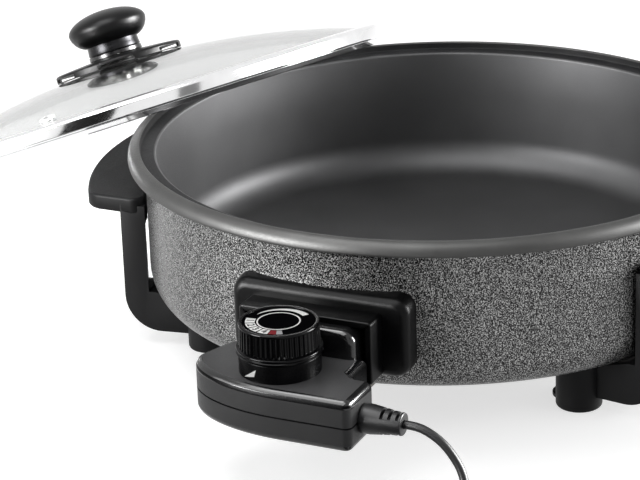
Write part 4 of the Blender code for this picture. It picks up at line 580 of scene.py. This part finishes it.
for end in (-1, 1):
    leg = plate("leg", leg_profile, -0.009, 0.009)
    face = Vector((leg_reach * math.cos(end * leg_turn), leg_reach * math.sin(end * leg_turn), 0))
    turn = Matrix.Rotation(end * leg_toe + math.pi, 4, "Z") @ Matrix.Rotation(math.pi / 2, 4, "X")
    settle(leg, Matrix.Translation(face) @ turn)
    use(leg, "BOOLEAN", {"operation": "DIFFERENCE", "solver": "EXACT", "object": clear_room})
    soften(leg, 0.0014, 3)
    smooth(leg)
    foot_outline = [(0.0023, -0.0108), (0.0120, -0.0108), (0.0120, -0.0342)]
    foot_outline += arc((0.0102, -0.0342), (0.0018, 0.0018), 0, -90, 6)
    foot_outline += [(0.0064, -0.0360), (0.0058, -0.0354), (0.0058, -0.0260), (0.0026, -0.0260),
                     (0.0026, -0.0108)]
    foot = lathe("foot", foot_outline, 64)
    settle(foot, Matrix.Translation((foot_x, end * foot_y, 0)))
    pad = lathe("pad", [(0, -0.0360), (0.0078, -0.0360), (0.0085, -0.0353), (0.0085, -0.0335),
                        (0.0078, -0.0328), (0, -0.0328)], 40)
    settle(pad, Matrix.Translation((0.0975, end * 0.0690, 0)))
    leg_parts += [leg, foot, pad]
bpy.data.objects.remove(clear_room)
smooth(handle)
join(handle, *leg_parts)
handle_left = handle.copy()
handle_left.data = handle.data.copy()
handle_left.name = handle_left.data.name = "handle_left_moulding"
bpy.context.scene.collection.objects.link(handle_left)
settle(handle_left, Matrix.Rotation(math.pi, 4, "Z"))
fit(handle, phenolic, "pan", "black_phenolic", "handle_right")
fit(handle_left, phenolic, "pan", "black_phenolic", "handle_left")

# Fasteners, pins and beads: plated steel screws in the feet, guard, control and knob, the
# plated probe, pins and plug blades, and ceramic beads that close the element's sheath.
plated = surface("plated_steel", (0.62, 0.62, 0.61), (0.50, 0.50, 0.49), 0.34, 1200.0, 0.00003, 1.0)
ceramic = surface("ceramic", (0.78, 0.76, 0.70), (0.70, 0.67, 0.60), 0.55, 1500.0, 0.00004)
refinish(plated, "terminal_pin_left", "terminal_pin_right", "guard_screw_left", "guard_screw_right",
         "foot_screw_left_front", "foot_screw_left_rear", "foot_screw_right_front", "foot_screw_right_rear",
         "shell_screw_left", "shell_screw_right", "probe_rod", "inner_washer", "knob_screw",
         "plug_blade_front", "plug_blade_rear")
refinish(ceramic, "terminal_bead_left", "terminal_bead_right")

# Heating element: a steel-sheathed tube bent to an open ring under the pan, its two ends
# turned up behind the guard.
element_sheath = surface("element_sheath", (0.20, 0.19, 0.17), (0.11, 0.105, 0.10), 0.45, 700.0, 0.00008, 0.8)
ring_level = -0.01055
ring = [(x, y, ring_level) for x, y in arc((0, 0), (0.10005, 0.10005), -74.5, 90, 40)]
bend = [(0.017, y, z) for y, z in arc((-0.1573, -0.00255), (0.008, 0.008), 180, 270, 8)]
corner = [(x, y, ring_level) for x, y in arc((0.025, -0.1009), (0.008, 0.008), 180, 100.7, 8)]
half_path = [(0.017, -0.1653, 0.0105)] + bend + corner + ring
element_path = half_path + [(-x, y, z) for x, y, z in reversed(half_path[:-1])]
element = tube("element_tube", element_path, 0.00325)
fit(element, element_sheath, "pan", "element_sheath", "heating_element")


# Socket guard: a black phenolic block screwed to the pan's wall, its top sloping forward to a
# rounded edge, with a square sleeve that the control plugs into.
def box_outline(low, high, corner, count):
    """A rectangle's outline with rounded corners."""
    (x0, y0), (x1, y1) = low, high
    return (arc((x1 - corner, y1 - corner), (corner, corner), 0, 90, count)
            + arc((x0 + corner, y1 - corner), (corner, corner), 90, 180, count)
            + arc((x0 + corner, y0 + corner), (corner, corner), 180, 270, count)
            + arc((x1 - corner, y0 + corner), (corner, corner), 270, 360, count))


facing_front = Matrix.Rotation(math.pi / 2, 4, "X")
guard_face = box_outline((-0.0465, 0.0045), (0.049, 0.0485), 0.0085, 10)
guard = plate("socket_guard_frame", guard_face, 0.150, 0.1652)
pick(guard)
select_edges(guard, lambda end: end.z > 0.165 and end.y > 0.039)
bpy.ops.transform.translate(value=(0, -0.0030, 0))
bpy.ops.object.mode_set(mode="OBJECT")
round_edges(guard, 0.0045, 7, lambda end: end.z > 0.165)
settle(guard, facing_front)
bpy.ops.object.select_all(action="DESELECT")
bpy.ops.mesh.primitive_cylinder_add(vertices=192, radius=pan_wall + 0.0003, depth=0.2)
cut(guard, bpy.context.object)
sleeve = plate("sleeve", box_outline((-0.0355, 0.0053), (0.0355, 0.0383), 0.0020, 5), 0.1620, 0.1783)
round_edges(sleeve, 0.0010, 3, lambda end: end.z > 0.178)
select_faces(sleeve, lambda face: face.normal.z > 0.99 and face.area > 0.001)
bpy.ops.mesh.inset(thickness=0.0021)
bpy.ops.mesh.extrude_region_move(TRANSFORM_OT_translate={"value": (0, 0, -0.0123)})
bpy.ops.object.mode_set(mode="OBJECT")
settle(sleeve, facing_front)
smooth(guard, 30)
smooth(sleeve, 30)
join(guard, sleeve)
guard_black = surface("guard_phenolic", (0.0015, 0.0015, 0.0018), (0.001, 0.001, 0.0012), 0.34, 1500.0,
                      0.00004, shine=0.10)
fit(guard, guard_black, "pan", "black_phenolic", "socket_guard")

# Heat control: two black half shells screwed together from below, satin on the flat faces and
# glossy on the rounded edges. The upper one carries the drum under the dial and the neck that
# enters the guard's sleeve. Its flat top is painted a lighter grey, a painted sheen, and the flat
# sides of both shells a mid grey, a painted reflection of the pale table. The lower band of the
# rounded edge and the corner where the cord's side steps in are painted near black as painted
# shade, in the same near black as the drum and the parting seam.
gloss_black = surface("gloss_shell", (0.0085, 0.0085, 0.0092), (0.0065, 0.0065, 0.0072), 0.16, 1200.0,
                      0.00001, 0.0, 0.03)
dial_y = -0.2058


def shell_outline():
    """The housing seen from above, round at its front left and stepped in at its right."""
    outline = arc((0.0435, -0.2275), (0.004, 0.004), 0, -90, 8)
    outline += arc((0.0100, -0.2030), (0.0555, 0.0285), -90, -180, 30)
    outline += [(-0.0375, -0.1810), (0.0340, -0.1810), (0.0340, -0.1983), (0.0380, -0.2023)]
    outline += arc((0.0435, -0.2063), (0.004, 0.004), 90, 0, 8)
    return outline


upper = plate("control_upper", shell_outline(), 0.00735, 0.0210)
round_edges(upper, 0.0062, 9, lambda end: end.z > 0.0209)
round_edges(upper, 0.0003, 1, lambda end: end.z < 0.0074)
smooth(upper, 30)
neck = plate("neck", box_outline((-0.0295, 0.0090), (0.0295, 0.0352), 0.0070, 12), 0.1697, 0.1860)
round_edges(neck, 0.0012, 4, lambda end: end.z < 0.1698)
round_edges(neck, 0.0034, 6, lambda end: end.z > 0.1859)
settle(neck, facing_front)
for x in (-0.017, 0.017):
    bpy.ops.mesh.primitive_cylinder_add(vertices=28, radius=0.0027, depth=0.02,
                                        location=(x, -0.1697, socket_height), rotation=(math.pi / 2, 0, 0))
    cut(neck, bpy.context.object)
smooth(neck, 30)
drum_outline = [(0, 0.0150), (0.0200, 0.0150), (0.0200, 0.0297)]
drum_outline += arc((0.0193, 0.0297), (0.0007, 0.0007), 0, 90, 5)[1:]
drum_outline += [(0.0040, 0.0304), (0.0036, 0.0240), (0, 0.0240)]
drum = lathe("drum", drum_outline, 96)
settle(drum, Matrix.Translation((0, dial_y, 0)))
# The drum's near black, also used on the parting seam, and as painted shade on the lower band of the rounded
# edge and in the notch where the cord's side steps in.
drum_seam_and_shade_black = surface("drum_seam_and_shade_black", (0.003, 0.003, 0.0035), (0.002, 0.002, 0.0025), 0.30, 1200.0, 0.00001,
                     shine=0.03)
# The flat top's lighter grey is a painted sheen.
painted_sheen_top = surface("shell_top_painted_sheen", (0.078, 0.078, 0.080), (0.070, 0.070, 0.072), 0.36, 1500.0, 0.00002,
                    shine=0.15)
# The flat sides' mid grey is a painted reflection of the pale table.
painted_reflection_side = surface("shell_side_painted_reflection", (0.038, 0.038, 0.039), (0.034, 0.034, 0.035), 0.45, 1500.0, 0.00002,
                     shine=0.15)
for material in (gloss_black, painted_sheen_top, painted_reflection_side, drum_seam_and_shade_black):
    upper.data.materials.append(material)
painted_sheen_slot, painted_reflection_slot, seam_and_shade_slot = 1, 2, 3


def in_notch(face):
    """Whether a face is in the corner where the cord's side steps in."""
    return 0.0335 < face.center.x < 0.0385 and face.center.y > -0.2025


# Flat top: painted sheen. Notch and lower band of the rounded edge: painted shade. Parting seam: near black.
# Flat sides: painted reflection.
for face in upper.data.polygons:
    if face.normal.z > 0.99:
        face.material_index = painted_sheen_slot
    elif in_notch(face) or face.center.z < 0.0078 or 0.1 < face.normal.z < 0.5:
        face.material_index = seam_and_shade_slot
    elif abs(face.normal.z) < 0.1 and face.center.z < 0.0148:
        face.material_index = painted_reflection_slot
neck.data.materials.append(gloss_black)
drum.data.materials.append(drum_seam_and_shade_black)
join(upper, neck, drum)
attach(upper, "control")
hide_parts("control_shell_upper")
lower = plate("control_lower", shell_outline(), -0.0050, 0.00705)
round_edges(lower, 0.0030, 6, lambda end: end.z < -0.0049)
round_edges(lower, 0.0003, 1, lambda end: end.z > 0.0070)
for x, y in ((-0.0270, -0.2130), (0.0340, -0.2225)):
    bpy.ops.mesh.primitive_cylinder_add(vertices=28, radius=0.0029, depth=0.004, location=(x, y, -0.0050))
    cut(lower, bpy.context.object)
smooth(lower, 30)
fit(lower, gloss_black, "control", "gloss_black", "control_shell_lower")
for material in (painted_reflection_side, drum_seam_and_shade_black):
    lower.data.materials.append(material)
painted_reflection_slot, seam_and_shade_slot = 1, 2
# Notch: painted shade. Parting seam: near black. Flat sides: painted reflection.
for face in lower.data.polygons:
    if in_notch(face) or face.center.z > 0.0066:
        face.material_index = seam_and_shade_slot
    elif abs(face.normal.z) < 0.1:
        face.material_index = painted_reflection_slot

# Inside the control: a mica board that carries the brass contacts, and the bimetal blade that
# opens them as the probe warms. They keep their CAD shapes and get finer materials.
mica = surface("mica_board", (0.46, 0.41, 0.33), (0.36, 0.31, 0.24), 0.6, 1000.0, 0.00005)
bimetal = surface("bimetal", (0.52, 0.47, 0.38), (0.44, 0.39, 0.31), 0.36, 900.0, 0.00002, 1.0)
brass = surface("contact_brass", (0.72, 0.52, 0.22), (0.60, 0.42, 0.17), 0.32, 900.0, 0.00002, 1.0)
refinish(brass, "contact_socket_left", "contact_socket_right", "contact_blade")
refinish(mica, "insulating_block")
refinish(bimetal, "bimetal_blade")

# Pointer: a small white triangle printed on the drum's front left, against which the dial's
# fields are read.
white_ink = surface("white_ink", (0.84, 0.84, 0.83), (0.76, 0.76, 0.75), 0.45, 1500.0, 0.00001)
pointer_reach, pointer_corners = 0.0203, []
for turn, height in ((237.5, 0.0220), (261.0, 0.0276), (257.5, 0.0238)):
    pointer_corners.append((pointer_reach * math.cos(math.radians(turn)),
                            pointer_reach * math.sin(math.radians(turn)) + dial_y, height))
pointer = trace("pointer_mark", pointer_corners)
bpy.ops.mesh.select_all(action="SELECT")
bpy.ops.mesh.edge_face_add()
bpy.ops.mesh.subdivide(number_cuts=7)
bpy.ops.object.mode_set(mode="OBJECT")
use(pointer, "SHRINKWRAP", {"target": upper, "wrap_method": "NEAREST_SURFACEPOINT",
                           "wrap_mode": "ABOVE_SURFACE", "offset": 0.00008})
fit(pointer, white_ink, "control", "printed_plate")

# Cord boot: a tapered rubber strain relief moulded round the cord, with three slots above and
# three below that let it bend.
boot_outline = [(0.0022, 0.0245), (0.0050, 0.0245)] + arc((0.0050, 0.0239), (0.0006, 0.0006), 90, 0, 5)[1:]
boot_outline += [(0.0058, 0.0200), (0.0073, 0.0083), (0.0073, 0.0042), (0.0069, 0.0038), (0.0055, 0.0038),
                 (0.0055, 0.0012), (0.0022, 0.0012), (0.0022, 0.0245)]
boot = lathe("cord_boot_rubber", boot_outline, 64)
for index in range(3):
    for side in (-1, 1):
        bpy.ops.mesh.primitive_cube_add(size=1, location=(side * 0.0088, 0, 0.0149 + 0.0038 * index))
        slot_room = bpy.context.object
        slot_room.scale = (0.0108, 0.02, 0.0016)
        bpy.ops.object.transform_apply()
        use(slot_room, "BEVEL", {"width": 0.0003, "segments": 2})
        cut(boot, slot_room)
smooth(boot, 40)
settle(boot, Matrix.Translation((0.0440, -0.2160, 0.0072)) @ Matrix.Rotation(math.pi / 2, 4, "Y"))
boot_rubber = surface("boot_rubber", (0.010, 0.010, 0.011), (0.006, 0.006, 0.007), 0.36, 2000.0, 0.00005,
                      shine=0.3)
fit(boot, boot_rubber, "control", "black_rubber", "cord_boot")

# Dial: a gloss black cap with a ribbed grip between two plain rings, on a nylon shaft. The
# ribs are every second pair of a cylinder's corners drawn in.
dial_axis = Matrix.Translation((0, dial_y, 0))
rib_steps = 192
dial_outline = [(0, 0.0444), (0.0176, 0.0444), (0.0177, 0.0454)]
dial_outline += arc((0.0181, 0.0453), (0.0004, 0.0004), 180, 90, 4)[1:]
dial_outline += arc((0.0189, 0.0450), (0.0007, 0.0007), 90, 0, 6)
dial_outline += [(0.0196, 0.0446), (0.0191, 0.0441), (0.0188, 0.0441), (0.0191, 0.0341), (0.0199, 0.0338)]
dial_outline += arc((0.0204, 0.0331), (0.0006, 0.0005), 90, 0, 6)
dial_outline += [(0.0210, 0.0326), (0.0205, 0.0321), (0.0210, 0.0316), (0.0210, 0.0309), (0.0207, 0.0307),
                 (0.0032, 0.0307), (0.0031, 0.0390), (0, 0.0390)]
dial = lathe("dial_cap", dial_outline, 108, 30)
bpy.ops.object.select_all(action="DESELECT")
bpy.ops.mesh.primitive_cylinder_add(vertices=rib_steps, radius=0.01985, depth=0.0102, location=(0, 0, 0.0392),
                                    end_fill_type="NOTHING")
ribs = bpy.context.object
bpy.ops.object.transform_apply()
for test, share in ((lambda end, place: end.z > 0.039, 0.985),
                    (lambda end, place: place % 4 in (0, 1), 0.972)):
    select_faces(ribs, lambda face: False)
    bpy.ops.object.mode_set(mode="OBJECT")
    for vertex in ribs.data.vertices:
        place = round(math.degrees(math.atan2(vertex.co.y, vertex.co.x)) / 360 * rib_steps)
        vertex.select = test(vertex.co, place)
    bpy.context.tool_settings.mesh_select_mode = (True, False, False)
    bpy.ops.object.mode_set(mode="EDIT")
    bpy.ops.transform.resize(value=(share, share, 1.0), center_override=(0, 0, 0))
    bpy.ops.object.mode_set(mode="OBJECT")
smooth(ribs, 25)
join(dial, ribs)
settle(dial, dial_axis)
dial_black = surface("dial_black", (0.002, 0.002, 0.0025), (0.0015, 0.0015, 0.002), 0.17, 1400.0, 0.00001,
                     uneven=0.03, shine=0.10)
fit(dial, dial_black, "dial", "gloss_black", "dial_knob")
plate_black = surface("plate_black", (0.003, 0.003, 0.0035), (0.002, 0.002, 0.0025), 0.45, 1200.0, 0.00001,
                      shine=0.0)
nylon = surface("shaft_nylon", (0.72, 0.70, 0.62), (0.66, 0.63, 0.54), 0.5, 1200.0, 0.00003)
refinish(plate_black, "dial_plate")
refinish(nylon, "dial_shaft")

# Dial marks: a white ring, white, red and grey heat fields with plain numbers, and a white
# swelling arc, all printed on the dial's plate.
mark_low, mark_high = 0.0454, 0.04547
red_ink = surface("red_ink", (0.20, 0.005, 0.011), (0.16, 0.004, 0.009), 0.4, 1500.0, 0.00001, shine=0.05)
grey_ink = surface("grey_ink", (0.30, 0.30, 0.31), (0.24, 0.24, 0.25), 0.4, 1500.0, 0.00001)
ring_mark = lathe("dial_ring_mark", [(0.0106, mark_low), (0.0106, mark_high), (0.0099, mark_high),
                                     (0.0099, mark_low), (0.0106, mark_low)], 96)
settle(ring_mark, dial_axis)
fit(ring_mark, white_ink, "dial", "printed_plate")
for name, start, end, ink in (("a", 186.5, 208.0, white_ink), ("b", 211.5, 231.0, white_ink),
                              ("c", 234.5, 253.0, white_ink), ("d", 256.5, 276.0, white_ink),
                              ("e", 277.5, 291.0, red_ink), ("f", 291.5, 303.0, grey_ink)):
    field = plate(f"dial_field_{name}", arc((0, 0), (0.0161, 0.0161), start, end, 12)
                  + arc((0, 0), (0.0114, 0.0114), end, start, 12), mark_low, mark_high)
    settle(field, dial_axis)
    fit(field, ink, "dial", "printed_plate")
swell_out, swell_in, swell_outer, swell_inner = 0.17, 0.07, [], []
for i, (x, y) in enumerate(arc((0, 0), (0.0137, 0.0137), 51, 165, 30)):
    wide = 1 - i / 29
    swell_outer.append((x * (1 + swell_out * wide ** 0.7), y * (1 + swell_out * wide ** 0.7)))
    swell_inner.append((x * (1 - swell_in * wide), y * (1 - swell_in * wide)))
arc_mark = plate("dial_arc_mark", swell_outer[:-1] + list(reversed(swell_inner)), mark_low, mark_high)
settle(arc_mark, dial_axis)
fit(arc_mark, white_ink, "dial", "printed_plate")
black_ink = surface("black_ink", (0.010, 0.010, 0.010), (0.007, 0.007, 0.007), 0.4, 1500.0, 0.00001)
digit_reach, digit_level = 0.0138, 0.04549
for number, turn in (("1", 197.2), ("2", 221.2), ("3", 243.7), ("4", 266.2)):
    bpy.ops.object.select_all(action="DESELECT")
    bpy.ops.object.text_add(location=(0, 0, 0))
    digit = bpy.context.object
    digit.name = f"dial_number_{number}"
    digit.data.body = number
    digit.data.size = 0.0050
    digit.data.offset = 0.00015
    digit.data.extrude = 0.00003
    digit.data.align_x = "CENTER"
    digit.data.align_y = "CENTER"
    bpy.ops.object.convert(target="MESH")
    spot = (digit_reach * math.cos(math.radians(turn)),
            digit_reach * math.sin(math.radians(turn)) + dial_y, digit_level)
    settle(digit, Matrix.Translation(spot) @ Matrix.Rotation(math.radians(turn + 90), 4, "Z"))
    fit(digit, black_ink, "dial", "printed_plate")

# Lid glass: a shallow dome of clear tempered glass, bored at its top for the knob's screw and
# near its edge for the vent. The whole lid leans, its hem on the table and on the pan's rim.
lid_seat = (Matrix.Translation((-0.242256, 0.091058, 0.030339))
            @ Matrix.Rotation(math.radians(158.7), 4, "Z") @ Matrix.Rotation(math.radians(23.2), 4, "Y")
            @ Matrix.Rotation(math.radians(-158.7), 4, "Z"))
glass_edge, glass_apex, glass_thick, glass_reach = 0.0052, 0.0306, 0.0040, 0.1540
glass_hole, vent_reach = 0.0045, 0.139
glass_rise = glass_apex - glass_edge
glass_sphere = (glass_reach ** 2 + glass_rise ** 2) / (2 * glass_rise)


def dome(radius):
    """Height of the glass's upper face."""
    return glass_apex - glass_sphere + math.sqrt(glass_sphere ** 2 - radius ** 2)


glass_radii = [glass_hole + (glass_reach - glass_hole) * i / 24 for i in range(25)]
glass_outline = [(r, dome(r)) for r in glass_radii]
glass_outline += [(r, dome(r) - glass_thick) for r in reversed(glass_radii)]
glass_outline += [(glass_hole, dome(glass_hole))]
glass = lathe("lid_glass_dome", glass_outline, 160)
vent_turn = Matrix.Rotation(math.radians(282.0), 4, "Z")
vent_seat = (vent_turn @ Matrix.Translation((vent_reach, 0, dome(vent_reach)))
             @ Matrix.Rotation(math.asin(vent_reach / glass_sphere), 4, "Y"))
bpy.ops.object.select_all(action="DESELECT")
bpy.ops.mesh.primitive_cylinder_add(vertices=32, radius=0.0031, depth=0.014)
vent_room = bpy.context.object
settle(vent_room, vent_seat)
cut(glass, vent_room)
smooth(glass)
settle(glass, lid_seat)
clear_glass = bpy.data.materials.new("clear_glass")
clear_glass.use_nodes = True
nodes, link = clear_glass.node_tree.nodes, clear_glass.node_tree.links.new
shader = nodes["Principled BSDF"]
shader.inputs["Transmission Weight"].default_value = 1.0
shader.inputs["IOR"].default_value = 1.47
place = nodes.new("ShaderNodeTexCoord")
haze = nodes.new("ShaderNodeTexNoise")
haze.inputs["Scale"].default_value = 18.0
haze.inputs["Detail"].default_value = 5.0
tint = nodes.new("ShaderNodeValToRGB")
tint.color_ramp.elements[0].color = (0.69, 0.695, 0.693, 1.0)
tint.color_ramp.elements[1].color = (0.73, 0.735, 0.733, 1.0)
film = nodes.new("ShaderNodeMapRange")
film.inputs["To Min"].default_value = 0.0
film.inputs["To Max"].default_value = 0.035
link(place.outputs["Object"], haze.inputs["Vector"])
link(haze.outputs["Fac"], tint.inputs["Fac"])
link(haze.outputs["Fac"], film.inputs["Value"])
link(tint.outputs["Color"], shader.inputs["Base Color"])
link(film.outputs["Result"], shader.inputs["Roughness"])
rays = nodes.new("ShaderNodeLightPath")
through = nodes.new("ShaderNodeBsdfTransparent")
through.inputs["Color"].default_value = (0.88, 0.89, 0.885, 1.0)
either = nodes.new("ShaderNodeMixShader")
link(rays.outputs["Is Shadow Ray"], either.inputs["Fac"])
link(shader.outputs["BSDF"], either.inputs[1])
link(through.outputs["BSDF"], either.inputs[2])
link(either.outputs["Shader"], nodes["Material Output"].inputs["Surface"])
fit(glass, clear_glass, "lid", "tempered_glass", "lid_glass")

# Rim band: a thin stainless strip crimped over the glass's edge, stepped in to a skirt that
# drops into the pan's ledge and ends in a folded hem. A grey gasket seats the glass in it.
band_outline = [(0.1514, 0.0068), (0.1522, 0.0067), (0.1535, 0.0065), (0.1552, 0.0063)]
band_outline += arc((0.1569, 0.0040), (0.0022, 0.0022), 95, 0, 12)
band_outline += [(0.1591, 0.0016), (0.1591, -0.0008)]
band_outline += arc((0.1584, -0.0008), (0.0007, 0.0009), 0, -80, 6)[1:]
band_outline += [(0.1577, -0.0018), (0.1574, -0.0021), (0.1577, -0.0025), (0.1569, -0.0045)]
band_outline += [(0.1564, -0.0048), (0.1558, -0.0045), (0.1555, -0.0030), (0.1549, -0.0016),
                 (0.1515, -0.0014)]
band = lathe("lid_rim_band", band_outline, 180)
use(band, "SOLIDIFY", {"thickness": 0.0008, "offset": 0.0})
smooth(band, 40)
settle(band, lid_seat)
polished = surface("polished_band", (0.88, 0.88, 0.885), (0.82, 0.82, 0.825), 0.10, 1600.0, 0.000004,
                   1.0, 0.03)
fit(band, polished, "lid", "polished_steel", "lid_rim")
gasket = lathe("lid_gasket_ring", [(0.1543, -0.0006), (0.1543, 0.0006), (0.1541, 0.0009), (0.1517, 0.0009),
                                   (0.1515, 0.0006), (0.1515, -0.0006), (0.1543, -0.0006)], 120)
settle(gasket, lid_seat)
silicone = surface("grey_silicone", (0.42, 0.42, 0.42), (0.34, 0.34, 0.34), 0.6, 1500.0, 0.00005)
fit(gasket, silicone, "lid", "grey_silicone", "lid_gasket")
eyelet_outline = [(0.0017, 0.0012), (0.0040, 0.0011), (0.0048, 0.0008), (0.0050, 0.0004), (0.0047, 0.0003),
                  (0.0027, 0.0003), (0.0027, -0.00475), (0.0046, -0.00475), (0.0050, -0.0050),
                  (0.0044, -0.0054), (0.0017, -0.0056), (0.0017, 0.0012)]
eyelet = lathe("vent_eyelet_rivet", eyelet_outline, 40)
settle(eyelet, lid_seat @ vent_seat)
eyelet_steel = surface("eyelet_steel", (0.86, 0.86, 0.86), (0.78, 0.78, 0.78), 0.42, 1600.0, 0.00001, 0.6)
fit(eyelet, eyelet_steel, "lid", "plain_steel", "vent_eyelet")

# Lid knob: drawn down on the glass by one screw. From the glass up: a washer, a slotted
# finger guard, a black ring, a dark metal collar and a satin black head.
satin_black = surface("satin_black", (0.003, 0.003, 0.0033), (0.002, 0.002, 0.0023), 0.34, 1700.0, 0.00004,
                      shine=0.16)
knob_gloss = surface("knob_gloss", (0.009, 0.009, 0.010), (0.007, 0.007, 0.008), 0.22, 1400.0, 0.00002)
dark_metal = surface("dark_collar_metal", (0.022, 0.022, 0.023), (0.016, 0.016, 0.017), 0.30, 900.0, 0.00001,
                     1.0, 0.04)
guard_outline = [(0.0031, 0.0361), (0.0166, 0.0361), (0.0280, 0.0352), (0.0370, 0.0344)]
guard_outline += arc((0.0382, 0.0327), (0.0014, 0.0014), 80, 0, 6)
guard_outline += [(0.0396, 0.0300), (0.0393, 0.0296), (0.0381, 0.0296), (0.0379, 0.0300), (0.0379, 0.0322),
                  (0.0372, 0.0327), (0.0120, 0.0344), (0.0120, 0.0322), (0.0031, 0.0322), (0.0031, 0.0361)]
finger_guard = lathe("knob_guard_disc", guard_outline, 120)
for index in range(6):
    bpy.ops.object.select_all(action="DESELECT")
    bpy.ops.mesh.primitive_cube_add(size=1, location=(0.0390, 0, 0.0313))
    window = bpy.context.object
    window.scale = (0.0110, 0.0232, 0.0022)
    bpy.ops.object.transform_apply()
    use(window, "BEVEL", {"width": 0.0006, "segments": 3})
    settle(window, Matrix.Rotation(index * math.pi / 3, 4, "Z"))
    cut(finger_guard, window)
smooth(finger_guard)
settle(finger_guard, lid_seat)
fit(finger_guard, satin_black, "lid", "satin_black", "knob_finger_guard")
washer = lathe("knob_washer_ring", [(0.0045, 0.0319), (0.0119, 0.0319), (0.0120, 0.0317), (0.0120, 0.0310),
                                    (0.0119, 0.0309), (0.0045, 0.0309), (0.0045, 0.0319)], 64)
settle(washer, lid_seat)
dark_silicone = surface("dark_silicone", (0.045, 0.045, 0.046), (0.030, 0.030, 0.031), 0.6, 1500.0, 0.00005)
fit(washer, dark_silicone, "lid", "grey_silicone", "knob_washer")
base_ring = lathe("knob_ring", [(0.0031, 0.0392), (0.0159, 0.0392), (0.0163, 0.0390), (0.0166, 0.0386),
                                (0.0166, 0.0366), (0.0164, 0.0364), (0.0031, 0.0364), (0.0031, 0.0392)], 96)
settle(base_ring, lid_seat)
fit(base_ring, knob_gloss, "lid", "gloss_black", "knob_base_ring")
collar = lathe("knob_collar_sleeve", [(0.0031, 0.0460), (0.0158, 0.0460), (0.0160, 0.0458), (0.0159, 0.0440),
                                      (0.0160, 0.0420), (0.0163, 0.0399), (0.0162, 0.0395), (0.0031, 0.0395),
                                      (0.0031, 0.0460)], 96)
settle(collar, lid_seat)
fit(collar, dark_metal, "lid", "dark_chrome", "knob_collar")
head_outline = arc((0, 0.05476), (0.0243, 0.01034), 90, 0, 26)
head_outline += [(0.0242, 0.0536), (0.0236, 0.0515), (0.0222, 0.0490), (0.0203, 0.0470), (0.0182, 0.0456),
                 (0.0168, 0.0450), (0.0163, 0.0452), (0.0163, 0.0463), (0.0028, 0.0463), (0.0028, 0.0573),
                 (0, 0.0573)]
head = lathe("knob_head_cap", head_outline, 96)
settle(head, lid_seat)
fit(head, satin_black, "lid", "satin_black", "knob_head")
